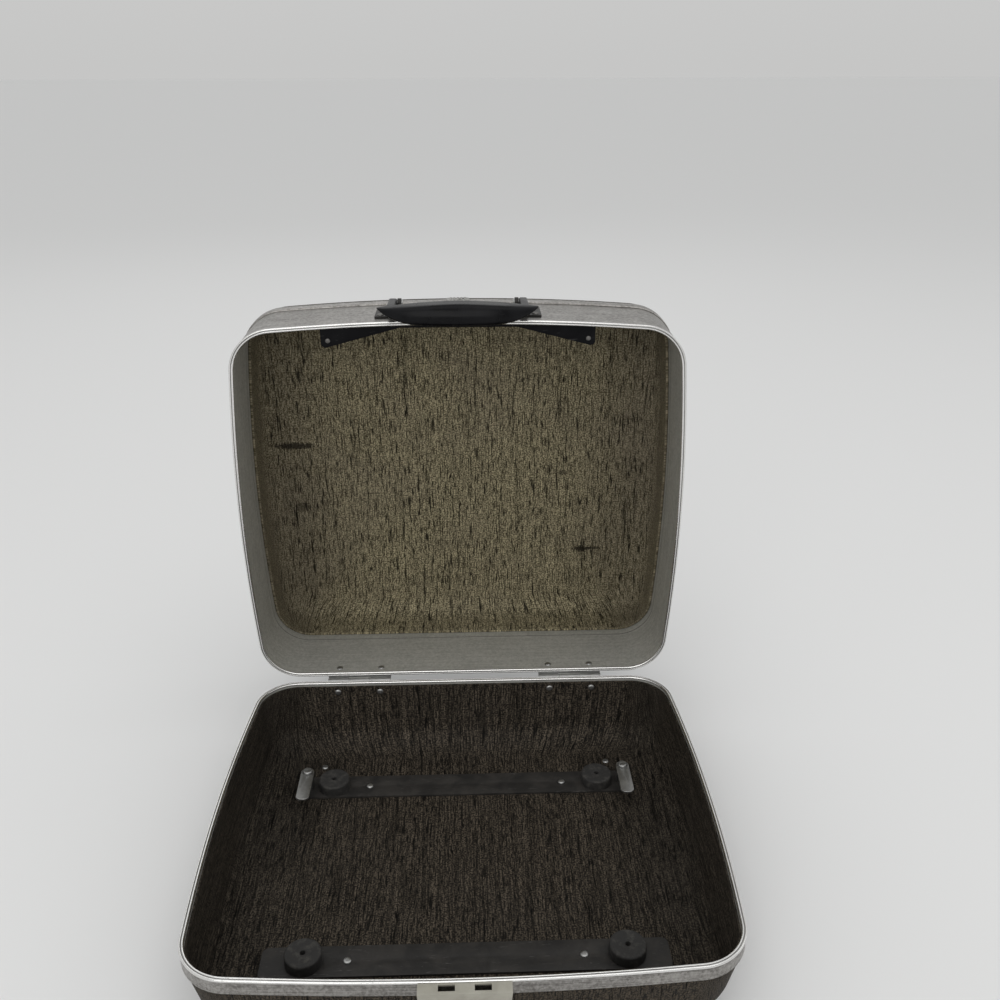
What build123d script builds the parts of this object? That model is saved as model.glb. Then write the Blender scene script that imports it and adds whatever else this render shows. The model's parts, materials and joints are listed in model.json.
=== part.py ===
from build123d import *
import math
import os

os.makedirs("parts", exist_ok=True)

# Typewriter case, in millimetres. It is modelled closed, with X to the right, Y to the back and Z up
# from the table, then the lid and all that it carries is swung open to its stop.

# Case outline, seen from above: three bowed sides, a straight back and rounded corners
case_width = 374.0
case_depth = 325.0
side_bow = 8.0
front_bow = 8.0
front_corner_radius = 37.0
back_corner_radius = 35.0

# Heights above the table
foot_height = 4.5
rim_top = 68.0
parting_gap = 0.3
lid_depth = 108.0

# Rolled lip of rim and lid, and the metal wall behind it
lip_thickness = 3.6
lip_height = 3.6
lip_rounding = 1.7
wall_setback = 0.4
groove_depth = 0.5
groove_height = 0.8
groove_from_lip = 0.4
seat_gap = 0.05
skin_gap = 0.15

# Base: metal rim and moulded tray
rim_height = 13.0
rim_wall = 1.2
tray_wall = 3.0
tray_taper = 10.0
tray_radius = 26.0

# Lid: metal band with a second bead at its back edge, and moulded shell
band_height = 74.0
band_wall = 1.4
back_bead_height = 13.0
back_bead_proud = 1.2
back_bead_rounding = 2.2
shell_wall = 2.4
shell_taper = 2.0
shell_radius = 20.0
shell_tuck = 5.5
corner_share = 0.4
bend_steps = 5

# Hinges at the back
hinge_offset = 95.0
hinge_width = 56.0
hinge_axis_behind = 3.2
hinge_axis_below = 3.0
knuckle_radius = 2.8
knuckle_width = 18.4
knuckle_gap = 0.3
hinge_pin_radius = 1.25
pin_fit = 0.05
leaf_thickness = 2.0
base_leaf_height = 8.4
lid_leaf_height = 15.0
leaf_lift = 0.6
stop_reach = 8.0
stop_thickness = 1.8
stop_gap = 0.05
leaf_under_lip = 0.4
leaf_rivet_margin = 0.3
lid_leaf_rivet_in = 4.5
open_angle = 90.0

# Striker bracket on the base's front
striker_width = 57.5
striker_foot_width = 52.0
striker_reach = 9.4
striker_drop = 1.7
striker_steel = 1.4
striker_face_height = 11.0
striker_slope_height = 9.0
striker_tab_height = 13.0
slot_length = 10.3
slot_depth = 4.7
slot_spacing = 22.2
slot_centre_out = 4.4
striker_rivet_spacing = 34.0
striker_rivet_up = 5.2

# Latch on the lid's front
latch_plate_half = 40.0
latch_plate_steel = 1.2
latch_plate_low = 4.0
latch_body_half = 33.0
latch_body_low = 1.0
latch_body_high = 25.0
latch_body_out = 9.5
latch_cover_steel = 1.2
latch_cover_rounding = 2.5
bar_steel = 1.6
bar_half = 20.0
bar_low = 12.0
bar_width = 8.0
bar_gap = 0.3
strip_margin = 1.0
rib_overlap = 5.0
hook_stem_width = 4.8
hook_nose = 3.2
hook_nose_height = 3.6
hook_under_gap = 0.7
hook_side_gap = 0.75
latch_travel = 3.6
thumb_neck_half = 5.0
thumb_neck_width = 3.0
thumb_half = 9.0
thumb_width = 10.0
thumb_height = 3.2
thumb_rounding = 2.0
thumb_ridges = 5
thumb_ridge_pitch = 2.8
thumb_ridge_width = 1.4
thumb_ridge_height = 0.6
thumb_ridge_inset = 1.0
window_gap = 0.5
latch_rivet_in = 3.5

# Backing plate inside the lid's front, with its two wings
backing_steel = 1.2
backing_half = 66.0
backing_margin = 2.0
wing_half = 108.0
wing_depth = 15.4
waist_half = 46.0
waist_depth = 3.0
wing_corner = 4.0
wing_rounding = 3.6
wing_rivet_in = 5.5
wing_rivet_radius = 1.2
wing_rivet_head_radius = 2.0

# Handle and its brackets
grip_half = 60.7
grip_foot_half = 43.4
grip_tip_out = 15.2
grip_crown_out = 18.6
grip_foot_out = 2.4
grip_clearance = 0.7
grip_front = 27.0
grip_ridge = 1.6
grip_back = 5.0
grip_tip_sweep = 14.0
grip_flat_half = 46.0
grip_corner_radius = 20.0
grip_wall = 2.8
grip_crown_wall = 3.6
grip_hollow_half = 39.0
grip_hollow_rounding = 5.0
arm_inner = 49.0
arm_thickness = 6.5
arm_root_back = 12.0
arm_root_out = 5.2
pivot_above_lip = 33.0
pivot_out = 6.2
boss_radius = 4.0
pivot_pin_radius = 2.0
pivot_head_radius = 3.0
pivot_head_height = 1.2
ear_thickness = 3.0
arm_gap = 0.5
bracket_inner = 43.0
bracket_outer = 66.0
bracket_low = 14.0
bracket_high = 42.0
bracket_steel = 1.5
stop_nub_width = 3.0
stop_nub_gap = 0.15
stop_nub_inset = 0.5
bracket_rivet_in = 4.5

# Rivets
rivet_radius = 1.6
rivet_head_radius = 2.9
rivet_head_height = 1.1
rivet_head_rounding = 0.8
rivet_fit = 0.05

# Rails, seats and clips that hold the machine in the tray
rail_from_side = 45.0
rail_width = 26.0
rail_steel = 1.6
rail_corner_radius = 5.0
rail_from_front = 70.5
rail_from_back = 72.5
seat_from_rail_end = 30.0
seat_radius = 13.0
seat_height = 9.0
seat_rounding = 1.5
machine_hole_radius = 1.9
rivet_from_seat = 30.0
clip_from_rail_end = 8.0
post_radius = 4.5
post_height = 14.0
clip_length = 34.0
clip_width = 11.0
clip_steel = 1.8
clip_tip_rounding = 4.4
clip_gap = 0.3
clip_screw_radius = 2.0
clip_head_radius = 4.0
clip_head_height = 1.8
clip_head_rounding = 1.1
screw_slot_width = 1.0
screw_slot_depth = 1.0

# Feet
foot_from_side = 63.0
foot_from_end = 44.5
foot_radius = 10.5
foot_rounding = 1.0
foot_recess_radius = 4.0
foot_recess_depth = 2.6

# How far a cut runs on past the face that it opens
over = 1.0

# Worked out from the above
front_y = -case_depth / 2
back_y = case_depth / 2
lid_edge = rim_top + parting_gap
closed_height = lid_edge + lid_depth
hinge_y = back_y + hinge_axis_behind
hinge_z = rim_top - hinge_axis_below
tray_inset = wall_setback + rim_wall + skin_gap
shell_inset = wall_setback + band_wall + skin_gap
floor_top = foot_height + tray_wall
rail_top = floor_top + rail_steel
rail_half = case_width / 2 - rail_from_side
front_rail_y = front_y + rail_from_front
back_rail_y = back_y - rail_from_back
seat_x = rail_half - seat_from_rail_end
rail_rivet_x = seat_x - rivet_from_seat
clip_x = rail_half - clip_from_rail_end
foot_x = case_width / 2 - foot_from_side
foot_y = case_depth / 2 - foot_from_end
flange_top = rim_top - striker_drop
flange_under = flange_top - striker_steel
pivot_z = lid_edge + pivot_above_lip
pivot_y = front_y - pivot_out
bar_back_out = slot_centre_out - bar_steel / 2
bar_front_out = slot_centre_out + bar_steel / 2
box_front = front_y - striker_reach
box_back = hinge_y + closed_height - hinge_z
frame_y = (box_front + box_back) / 2

UP = (Align.CENTER, Align.CENTER, Align.MIN)


def block(x0, x1, y0, y1, z0, z1):
    """Rectangular block between two corners."""
    size = (x1 - x0, y1 - y0, z1 - z0)
    return Pos((x0 + x1) / 2, (y0 + y1) / 2, (z0 + z1) / 2) * Box(*size)


def front_block(x0, x1, out0, out1, z0, z1):
    """Block on the case's front, measured outwards from the front face."""
    return block(x0, x1, front_y - out1, front_y - out0, z0, z1)


def rod(point, direction, length, radius):
    """Round rod from a point along a direction."""
    return Plane(origin=point, z_dir=direction) * Cylinder(radius, length, align=UP)


def outline(inset, corner_inset):
    """The case's outline pulled in by inset, its corner radii by corner_inset."""
    half_width = case_width / 2 - inset
    front = front_y + inset
    back = back_y - inset
    corner_x = half_width - side_bow
    corner_y = front + front_bow
    sides = [
        ThreePointArc((-corner_x, corner_y), (0, front), (corner_x, corner_y)),
        ThreePointArc((corner_x, corner_y), (half_width, 0), (corner_x, back)),
        Line((corner_x, back), (-corner_x, back)),
        ThreePointArc((-corner_x, back), (-half_width, 0), (-corner_x, corner_y)),
    ]
    face = make_face(sides)
    face = fillet(face.vertices().sort_by(Axis.Y)[:2], front_corner_radius - corner_inset)
    return fillet(face.vertices().sort_by(Axis.Y)[-2:], back_corner_radius - corner_inset)


def prism(inset, z0, z1):
    """Solid with the case's outline between two heights."""
    return extrude(Pos(0, 0, z0) * outline(inset, inset), z1 - z0)


def ring(outer_inset, inner_inset, z0, z1):
    """Closed wall that follows the outline."""
    return prism(outer_inset, z0, z1) - prism(inner_inset, z0 - over, z1 + over)


def front_skin(outer_inset, inner_inset, x0, x1, z0, z1):
    """Piece of wall that follows the bowed front between two places."""
    wall = ring(outer_inset, inner_inset, z0, z1)
    return wall & block(x0, x1, front_y - front_bow, 0, z0, z1)


def section(z, inset, collar_inset):
    """Outline of a dish at one height; its corners tighten more slowly than its sides."""
    return Pos(0, 0, z) * outline(inset, collar_inset + corner_share * (inset - collar_inset))


def dish(edge_z, wall_z, floor_z, inset, taper, radius):
    """Solid dish: straight collar, tapered wall, rolled bend and flat floor."""
    side = 1 if floor_z > edge_z else -1
    lean = math.radians(taper)
    bend_z = floor_z - side * radius
    wall_end_z = bend_z + side * radius * math.sin(lean)
    wall_end_inset = inset + abs(wall_end_z - wall_z) * math.tan(lean)
    bend_inset = wall_end_inset + radius * math.cos(lean)
    bend = []
    for step in range(bend_steps + 1):
        angle = lean + (math.pi / 2 - lean) * step / bend_steps
        z = bend_z + side * radius * math.sin(angle)
        bend.append(section(z, bend_inset - radius * math.cos(angle), inset))
    collar = prism(inset, min(edge_z, wall_z), max(edge_z, wall_z))
    wall = loft([section(wall_z, inset, inset), section(wall_end_z, wall_end_inset, inset)], ruled=True)
    return collar + wall + loft(bend)


def rivet(point, direction, grip, radius=rivet_radius, head_radius=rivet_head_radius):
    """Rivet with two domed heads; direction points from the first head into the work."""
    head = Cylinder(head_radius, rivet_head_height, align=UP)
    head = fillet(head.edges().group_by(Axis.Z)[-1], rivet_head_rounding)
    first = Pos(0, 0, -seat_gap) * Rot(180, 0, 0) * head
    last = Pos(0, 0, grip + seat_gap) * head
    shank = Pos(0, 0, -seat_gap) * Cylinder(radius, grip + 2 * seat_gap, align=UP)
    return Plane(origin=point, z_dir=direction) * (first + shank + last)


def rivet_hole(point, direction, grip, radius=rivet_radius):
    """Hole for a rivet, a little longer than its grip at both ends."""
    hole = Cylinder(radius + rivet_fit, grip + 2 * over, align=UP)
    return Plane(origin=point, z_dir=direction) * (Pos(0, 0, -over) * hole)


def base_rim():
    """Narrow metal rim: wall, rounded lip on top and a groove under the lip."""
    lip = ring(0, lip_thickness, rim_top - lip_height, rim_top)
    lip = fillet(lip.edges().group_by(Axis.Z)[-1], lip_rounding)
    wall = ring(wall_setback, wall_setback + rim_wall, rim_top - rim_height, rim_top - lip_height)
    groove_top = rim_top - lip_height - groove_from_lip
    groove = ring(-over, wall_setback + groove_depth, groove_top - groove_height, groove_top)
    return lip + wall - groove


def base_tray():
    """Moulded tray, hollow, with its top edge under the rim's lip."""
    edge_z = rim_top - lip_height - seat_gap
    wall_z = rim_top - rim_height
    outer = dish(edge_z, wall_z, foot_height, tray_inset, tray_taper, tray_radius)
    inner_inset = tray_inset + tray_wall
    inner_radius = tray_radius - tray_wall
    inner = dish(edge_z + over, wall_z, floor_top, inner_inset, tray_taper, inner_radius)
    return outer - inner


def lid_band():
    """Wide metal band: rounded lip, flat wall and a second bead at the back edge, grooved beside both."""
    lip_top = lid_edge + lip_height
    lip = ring(0, lip_thickness, lid_edge, lip_top)
    lip = fillet(lip.edges().group_by(Axis.Z)[0], lip_rounding)
    inner = wall_setback + band_wall
    bead_top = lid_edge + band_height
    bead_low = bead_top - back_bead_height
    wall = ring(wall_setback, inner, lip_top, bead_top)
    bead = prism(wall_setback - back_bead_proud, bead_low, bead_top)
    outer_edges = bead.edges().group_by(Axis.Z)
    bead = fillet(outer_edges[0] + outer_edges[-1], back_bead_rounding)
    bead = bead - prism(inner, bead_low - over, bead_top + over)
    band = lip + wall + bead
    for low in (lip_top + groove_from_lip, bead_low - groove_height):
        band = band - ring(-over, wall_setback + groove_depth, low, low + groove_height)
    return band


def lid_shell():
    """Moulded shell of the lid, tucked inside the band's back edge."""
    edge_z = lid_edge + band_height - shell_tuck
    wall_z = lid_edge + band_height
    outer = dish(edge_z, wall_z, closed_height, shell_inset, shell_taper, shell_radius)
    inner_inset = shell_inset + shell_wall
    inner_radius = shell_radius - shell_wall
    inner_top = closed_height - shell_wall
    inner = dish(edge_z - over, wall_z, inner_top, inner_inset, shell_taper, inner_radius)
    return outer - inner


def hinge_knuckles(x, spans):
    """Row of knuckles on the hinge axis."""
    rods = [
        rod((x + x0, hinge_y, hinge_z), (1, 0, 0), x1 - x0, knuckle_radius) for x0, x1 in spans
    ]
    return Part() + rods


def hinge_bore(x):
    """Bore of the hinge pin through all knuckles."""
    start = (x - hinge_width / 2 - over, hinge_y, hinge_z)
    return rod(start, (1, 0, 0), hinge_width + 2 * over, hinge_pin_radius + pin_fit)


def hinge_rivet_places(x, z):
    """The rivets of one hinge leaf."""
    side = hinge_width / 2 - knuckle_width / 2
    return [(x - side, back_y + leaf_out, z), (x + side, back_y + leaf_out, z)]


leaf_out = leaf_thickness - wall_setback
base_leaf_top = rim_top - lip_height - leaf_under_lip
base_rivet_z = base_leaf_top - base_leaf_height + rivet_head_radius + leaf_rivet_margin
lid_leaf_low = lid_edge + leaf_lift
lid_leaf_top = lid_edge + lid_leaf_height
lid_leaf_rivet_z = lid_leaf_top - lid_leaf_rivet_in
base_hinge_grip = leaf_out + tray_inset + tray_wall
lid_hinge_grip = leaf_out + wall_setback + band_wall


def base_leaf(x):
    """Base leaf with two knuckles and the two tongues that stop the open lid."""
    half = hinge_width / 2
    middle = knuckle_width / 2 + knuckle_gap
    seat_y = back_y - wall_setback + seat_gap
    leaf_back = back_y + leaf_out
    low = base_leaf_top - base_leaf_height
    plate = block(x - half, x + half, seat_y, leaf_back, low, hinge_z - knuckle_radius - knuckle_gap)
    spans = [(-half, -middle), (middle, half)]
    leaf = plate + hinge_knuckles(x, spans)
    leaf_line = hinge_z + hinge_axis_behind - leaf_out
    for x0, x1 in spans:
        link_top = base_leaf_top - seat_gap
        leaf += block(x + x0, x + x1, seat_y, leaf_back, low, link_top)
        stop_top = leaf_line - stop_gap
        leaf += block(x + x0, x + x1, hinge_y, hinge_y + stop_reach, stop_top - stop_thickness, stop_top)
    for place in hinge_rivet_places(x, base_rivet_z):
        leaf -= rivet_hole(place, (0, -1, 0), base_hinge_grip)
    return leaf - hinge_bore(x)


def lid_leaf(x):
    """Lid leaf with the middle knuckle."""
    half = hinge_width / 2
    middle = knuckle_width / 2
    seat_y = back_y - wall_setback + seat_gap
    leaf_back = back_y + leaf_out
    clear_y = back_y + hinge_axis_behind - knuckle_radius
    leaf = block(x - half, x + half, clear_y, leaf_back, lid_leaf_low, lid_leaf_top)
    leaf += block(x - half, x + half, seat_y, leaf_back, lid_edge + lip_height + seat_gap, lid_leaf_top)
    leaf += block(x - middle, x + middle, clear_y, leaf_back, hinge_z, lid_leaf_top)
    leaf += hinge_knuckles(x, [(-middle, middle)])
    for place in hinge_rivet_places(x, lid_leaf_rivet_z):
        leaf -= rivet_hole(place, (0, -1, 0), lid_hinge_grip)
    return leaf - hinge_bore(x)


def hinge_pin(x):
    """Hinge pin, as long as the hinge."""
    half = hinge_width / 2
    return rod((x - half, hinge_y, hinge_z), (1, 0, 0), hinge_width, hinge_pin_radius)


def tray_front_out(z):
    """How far the tray's front face lies out from the case's front at a height, negative inside."""
    return -(tray_inset + (rim_top - rim_height - z) * math.tan(math.radians(tray_taper)))


slope_top = flange_top - striker_face_height
tab_top = slope_top - striker_slope_height
tab_low = tab_top - striker_tab_height
striker_rivet_z = tab_low + striker_rivet_up
striker_grip = striker_steel + 2 * seat_gap + tray_wall
striker_rivet_way = (0, math.cos(math.radians(tray_taper)), math.sin(math.radians(tray_taper)))


def striker_rivet_places():
    """The two rivets in the bracket's foot, on its outer face."""
    out = tray_front_out(striker_rivet_z) + striker_steel / striker_rivet_way[1] + seat_gap
    half = striker_rivet_spacing / 2
    return [(x, front_y - out, striker_rivet_z) for x in (-half, half)]


def striker_bracket():
    """Pressed bracket: top flange with two slots, front plate, slope and riveted foot."""
    half_steel = striker_steel / 2
    line = [
        (wall_setback, flange_top - half_steel),
        (-(striker_reach - half_steel), flange_top - half_steel),
        (-(striker_reach - half_steel), slope_top),
        (-(tray_front_out(tab_top) + seat_gap + half_steel), tab_top),
        (-(tray_front_out(tab_low) + seat_gap + half_steel), tab_low),
    ]
    points = [(front_y + y, z) for y, z in line]
    section = Plane.YZ * trace(Polyline(*points), line_width=striker_steel)
    body = extrude(section, striker_width / 2, both=True)
    side_points = points[:4] + [(front_y + wall_setback, tab_top)]
    side = Plane.YZ * make_face(Polyline(*side_points, close=True))
    for edge_x, inward in ((-striker_width / 2, 1), (striker_width / 2, -1)):
        cheek = extrude(side, inward * striker_steel)
        body += Pos(edge_x, 0, 0) * cheek
    top_half = striker_width / 2
    low_half = striker_foot_width / 2
    front_shape = Polyline(
        (-top_half, flange_top), (top_half, flange_top),
        (low_half, tab_low - over), (-low_half, tab_low - over), close=True,
    )
    trim = extrude(Plane.XZ * make_face(front_shape), case_depth)
    body = body & trim
    rim_low = rim_top - rim_height
    body = body - prism(wall_setback - seat_gap, rim_low - over, rim_top)
    body = body - prism(-seat_gap, rim_top - lip_height - seat_gap, rim_top)
    body = body - dish(rim_top, rim_low, foot_height, tray_inset - seat_gap, tray_taper, tray_radius)
    for side_x in (-slot_spacing / 2, slot_spacing / 2):
        half = slot_length / 2
        out0 = slot_centre_out - slot_depth / 2
        body -= front_block(
            side_x - half, side_x + half, out0, out0 + slot_depth, flange_under - over, flange_top + over
        )
    for place in striker_rivet_places():
        body -= rivet_hole(place, striker_rivet_way, striker_grip)
    return body


def hook_shape(slot_x):
    """One hook: stem through the slot and a nose to the right at its end."""
    left = slot_x - slot_length / 2 + hook_side_gap
    nose_top = flange_under - hook_under_gap
    low = nose_top - hook_nose_height
    stem_right = left + hook_stem_width
    stem = front_block(left, stem_right, bar_back_out, bar_front_out, low, lid_edge + bar_low)
    nose = front_block(left, stem_right + hook_nose, bar_back_out, bar_front_out, low, nose_top)
    return stem + nose


def latch_bar():
    """Sliding bar with its two hooks."""
    low = lid_edge + bar_low
    bar = front_block(-bar_half, bar_half, bar_back_out, bar_front_out, low, low + bar_width)
    return bar + hook_shape(-slot_spacing / 2) + hook_shape(slot_spacing / 2)


def latch_thumb():
    """Thumb piece on the bar: neck through the cover and a ribbed knob."""
    middle = lid_edge + bar_low + bar_width / 2
    half_neck = thumb_neck_width / 2
    knob_back = latch_body_out + bar_gap
    neck = front_block(
        -thumb_neck_half, thumb_neck_half, bar_front_out, knob_back, middle - half_neck, middle + half_neck
    )
    half_knob = thumb_width / 2
    knob = front_block(
        -thumb_half, thumb_half, knob_back, knob_back + thumb_height, middle - half_knob, middle + half_knob
    )
    knob = fillet(knob.edges().filter_by(Axis.Y), thumb_rounding)
    thumb = neck + knob
    face_out = knob_back + thumb_height
    half_ridge = thumb_ridge_width / 2
    ridge_reach = half_knob - thumb_ridge_inset
    for ridge in range(thumb_ridges):
        x = (ridge - (thumb_ridges - 1) / 2) * thumb_ridge_pitch
        thumb += front_block(
            x - half_ridge, x + half_ridge, face_out, face_out + thumb_ridge_height,
            middle - ridge_reach, middle + ridge_reach,
        )
    return thumb


latch_rivet_x = latch_plate_half - latch_rivet_in
latch_rivet_z = lid_edge + bar_low + bar_width / 2
latch_plate_out = latch_plate_steel - wall_setback + seat_gap
latch_flange_out = latch_plate_out + seat_gap + latch_cover_steel
backing_inset = wall_setback + band_wall + seat_gap
latch_grip = latch_flange_out + backing_inset + backing_steel


def front_bow_radius():
    """Radius of the bowed front, seen from above."""
    span = case_width / 2 - side_bow
    return (span**2 + front_bow**2) / (2 * front_bow)


def front_bow_at(x):
    """How far the bowed front falls back at a place across it."""
    radius = front_bow_radius()
    return radius - math.sqrt(radius**2 - x**2)


def front_way(x):
    """Direction square into the bowed front at a place across it."""
    lean = math.asin(x / front_bow_radius())
    return (-math.sin(lean), math.cos(lean), 0)


def latch_rivet_places():
    """The two rivets of latch cover and plate, on the cover's flanges."""
    y = front_y - latch_flange_out + front_bow_at(latch_rivet_x)
    return [(x, y, latch_rivet_z) for x in (-latch_rivet_x, latch_rivet_x)]


def latch_plate():
    """Plate on the band behind the bar, with the strip that the bar slides on."""
    high = lid_edge + latch_body_high
    low = lid_edge + latch_plate_low
    half = latch_plate_half
    plate = front_skin(-latch_plate_out, wall_setback - seat_gap, -half, half, low, high)
    strip_low = lid_edge + bar_low + strip_margin
    strip_high = lid_edge + bar_low + bar_width - strip_margin
    inner_half = latch_body_half - latch_cover_steel - strip_margin
    plate += front_block(-inner_half, inner_half, 0, bar_back_out - bar_gap, strip_low, strip_high)
    over = lid_edge + bar_low + bar_width + bar_gap
    plate += front_block(-bar_half, bar_half, 0, bar_front_out, over, over + latch_plate_steel)
    for place in latch_rivet_places():
        plate -= rivet_hole(place, front_way(place[0]), latch_grip)
    return plate


def latch_cover():
    """Pressed cover over the bar, open at the back, with windows for hooks and thumb piece."""
    low = lid_edge + latch_body_low
    high = lid_edge + latch_body_high
    half = latch_body_half
    steel = latch_cover_steel
    back_out = latch_plate_out + seat_gap
    body = front_block(-half, half, back_out, latch_body_out, low, high)
    body = fillet(body.edges().filter_by(Axis.Z).group_by(Axis.Y)[0], latch_cover_rounding)
    rib_front = latch_body_out - steel
    body -= front_block(-half + steel, half - steel, back_out - over, rib_front, low + steel, high - steel)
    flange_low = lid_edge + latch_plate_low
    body += front_skin(-latch_flange_out, -back_out, -latch_plate_half, -half + steel, flange_low, high)
    body += front_skin(-latch_flange_out, -back_out, half - steel, latch_plate_half, flange_low, high)
    rib_low = lid_edge + bar_low + strip_margin
    rib_high = lid_edge + bar_low + bar_width - strip_margin
    rib_end = bar_half - rib_overlap
    for x0, x1 in ((-half + steel, -rib_end), (rib_end, half - steel)):
        body += front_block(x0, x1, bar_front_out + bar_gap, rib_front, rib_low, rib_high)
    for slot_x in (-slot_spacing / 2, slot_spacing / 2):
        left = slot_x - slot_length / 2 + hook_side_gap - window_gap
        right = left + hook_stem_width + latch_travel + 2 * window_gap
        out0 = bar_back_out - window_gap
        out1 = bar_front_out + window_gap
        body -= front_block(left, right, out0, out1, low - over, low + steel + over)
    middle = lid_edge + bar_low + bar_width / 2
    half_window = thumb_neck_width / 2 + window_gap
    body -= front_block(
        -thumb_neck_half - window_gap, thumb_neck_half + latch_travel + window_gap,
        rib_front - over, latch_body_out + over, middle - half_window, middle + half_window,
    )
    for place in latch_rivet_places():
        body -= rivet_hole(place, front_way(place[0]), latch_grip)
    return body


bracket_grip = bracket_steel - wall_setback + seat_gap + backing_inset + backing_steel
bracket_rivet_x = bracket_outer - bracket_rivet_in


def bracket_rivet_places(side):
    """The two rivets of one handle bracket."""
    y = front_y - (bracket_steel - wall_setback + seat_gap) + front_bow_at(bracket_rivet_x)
    low = lid_edge + bracket_low + bracket_rivet_in
    high = lid_edge + bracket_high - bracket_rivet_in
    return [(side * bracket_rivet_x, y, z) for z in (low, high)]


def arm_line(above_lip):
    """Underside of the handle's arms: how far out it is at a distance above the lip."""
    share = (pivot_above_lip - above_lip) / (pivot_above_lip + arm_root_back)
    boss_out = pivot_out - boss_radius
    return boss_out + share * (arm_root_out - boss_out)


def handle_bracket(side):
    """Bracket with the ear that holds one pivot pin, and the nub that the arm rests on."""
    x0, x1 = sorted((side * bracket_inner, side * bracket_outer))
    plate_out = bracket_steel - wall_setback + seat_gap
    low = lid_edge + bracket_low
    high = lid_edge + bracket_high
    bracket = front_skin(-plate_out, wall_setback - seat_gap, x0, x1, low, high)
    ear_outer = arm_inner - arm_gap
    ear0, ear1 = sorted((side * (ear_outer - ear_thickness), side * ear_outer))
    bracket += front_block(ear0, ear1, 0, pivot_out, pivot_z - boss_radius, pivot_z + boss_radius)
    bracket += rod((ear0, pivot_y, pivot_z), (1, 0, 0), ear_thickness, boss_radius)
    nub_outer = arm_inner + arm_thickness - stop_nub_inset
    nub0, nub1 = sorted((side * (arm_inner + stop_nub_inset), side * nub_outer))
    nub_out = arm_line(bracket_low + stop_nub_width) - stop_nub_gap
    bracket += front_block(nub0, nub1, 0, nub_out, low, low + stop_nub_width)
    bore_start = (ear0 - over, pivot_y, pivot_z)
    bracket -= rod(bore_start, (1, 0, 0), ear_thickness + 2 * over, pivot_pin_radius + pin_fit)
    for place in bracket_rivet_places(side):
        bracket -= rivet_hole(place, front_way(place[0]), bracket_grip)
    return bracket


def pivot_pin(side):
    """Handle pivot pin: a head inside the ear and a shank through ear and arm."""
    inner = arm_inner - arm_gap - ear_thickness
    length = arm_thickness + arm_gap + ear_thickness
    head = rod((side * inner, pivot_y, pivot_z), (-side, 0, 0), pivot_head_height, pivot_head_radius)
    shank = rod((side * inner, pivot_y, pivot_z), (side, 0, 0), length, pivot_pin_radius)
    return head + shank


def backing_plate():
    """Black plate inside the lid's front: a flange on the band and a web with two wings."""
    web_low = lid_edge + lip_height + seat_gap
    web_high = web_low + backing_steel
    flange_high = lid_edge + bracket_high + backing_margin
    inner = backing_inset + backing_steel
    flange = front_skin(backing_inset, inner, -backing_half, backing_half, web_low, flange_high)
    waist_y = front_y + lip_thickness + waist_depth
    tip_y = front_y + lip_thickness + front_bow_at(wing_half) + wing_depth
    shape = Polyline(
        (-wing_half, front_y), (wing_half, front_y), (wing_half, tip_y), (wing_half - wing_corner, tip_y),
        (waist_half, waist_y), (-waist_half, waist_y), (-wing_half + wing_corner, tip_y),
        (-wing_half, tip_y), close=True,
    )
    face = make_face(shape)
    tips = face.vertices().group_by(Axis.Y)[-1].sort_by(Axis.X)
    face = fillet([tips[0], tips[-1]], wing_rounding)
    web = extrude(Pos(0, 0, web_low) * face, backing_steel)
    web = web & prism(backing_inset, web_low - over, web_high + over)
    plate = flange + web
    for place in latch_rivet_places():
        plate -= rivet_hole(place, front_way(place[0]), latch_grip)
    for side in (-1, 1):
        for place in bracket_rivet_places(side):
            plate -= rivet_hole(place, front_way(place[0]), bracket_grip)
    for place in wing_rivet_places():
        plate -= rivet_hole(place, (0, 0, 1), backing_steel, wing_rivet_radius)
    return plate


def wing_rivet_places():
    """The rivet near the outer corner of each wing."""
    y = front_y + lip_thickness + front_bow_at(wing_half) + wing_depth - wing_rivet_in
    x = wing_half - wing_rivet_in
    z = lid_edge + lip_height + seat_gap
    return [(-x, y, z), (x, y, z)]


def grip_point(out, above_lip):
    """A point of the handle's side view, as Y and Z."""
    return (front_y - out, lid_edge + above_lip)


def grip_body():
    """Boat-shaped body of the grip: front view, plan and the ridge along its front."""
    low = lid_edge - grip_front
    crown = ThreePointArc((-grip_half, -grip_tip_out), (0, -grip_crown_out), (grip_half, -grip_tip_out))
    foot = ThreePointArc(
        (grip_foot_half, -grip_foot_out), (0, -grip_clearance), (-grip_foot_half, -grip_foot_out)
    )
    right = Line((grip_half, -grip_tip_out), (grip_foot_half, -grip_foot_out))
    left = Line((-grip_foot_half, -grip_foot_out), (-grip_half, -grip_tip_out))
    front_view = make_face([crown, right, foot, left])
    body = Pos(0, front_y, low) * extrude(front_view, grip_front - grip_back)
    wide = grip_half + over
    plan = make_face(Polyline(
        (-wide, lid_edge), (wide, lid_edge), (wide, low + grip_tip_sweep), (grip_flat_half, low),
        (-grip_flat_half, low), (-wide, low + grip_tip_sweep), close=True,
    ))
    plan = fillet(plan.vertices().sort_by(Axis.Y)[:2], grip_corner_radius)
    body = body & Pos(0, front_y + over, 0) * extrude(Plane.XZ * plan, grip_crown_out + 2 * over)
    ridge_out = (grip_crown_out + grip_clearance) / 2
    beyond = grip_crown_out + over
    bevel = make_face(Polyline(
        grip_point(beyond, -grip_front - over), grip_point(beyond, -grip_front + 2 * grip_ridge + 2 * over),
        grip_point(ridge_out, -grip_front), grip_point(ridge_out, -grip_front - over), close=True,
    ))
    return body - extrude(Plane.YZ * bevel, wide, both=True)


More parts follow.
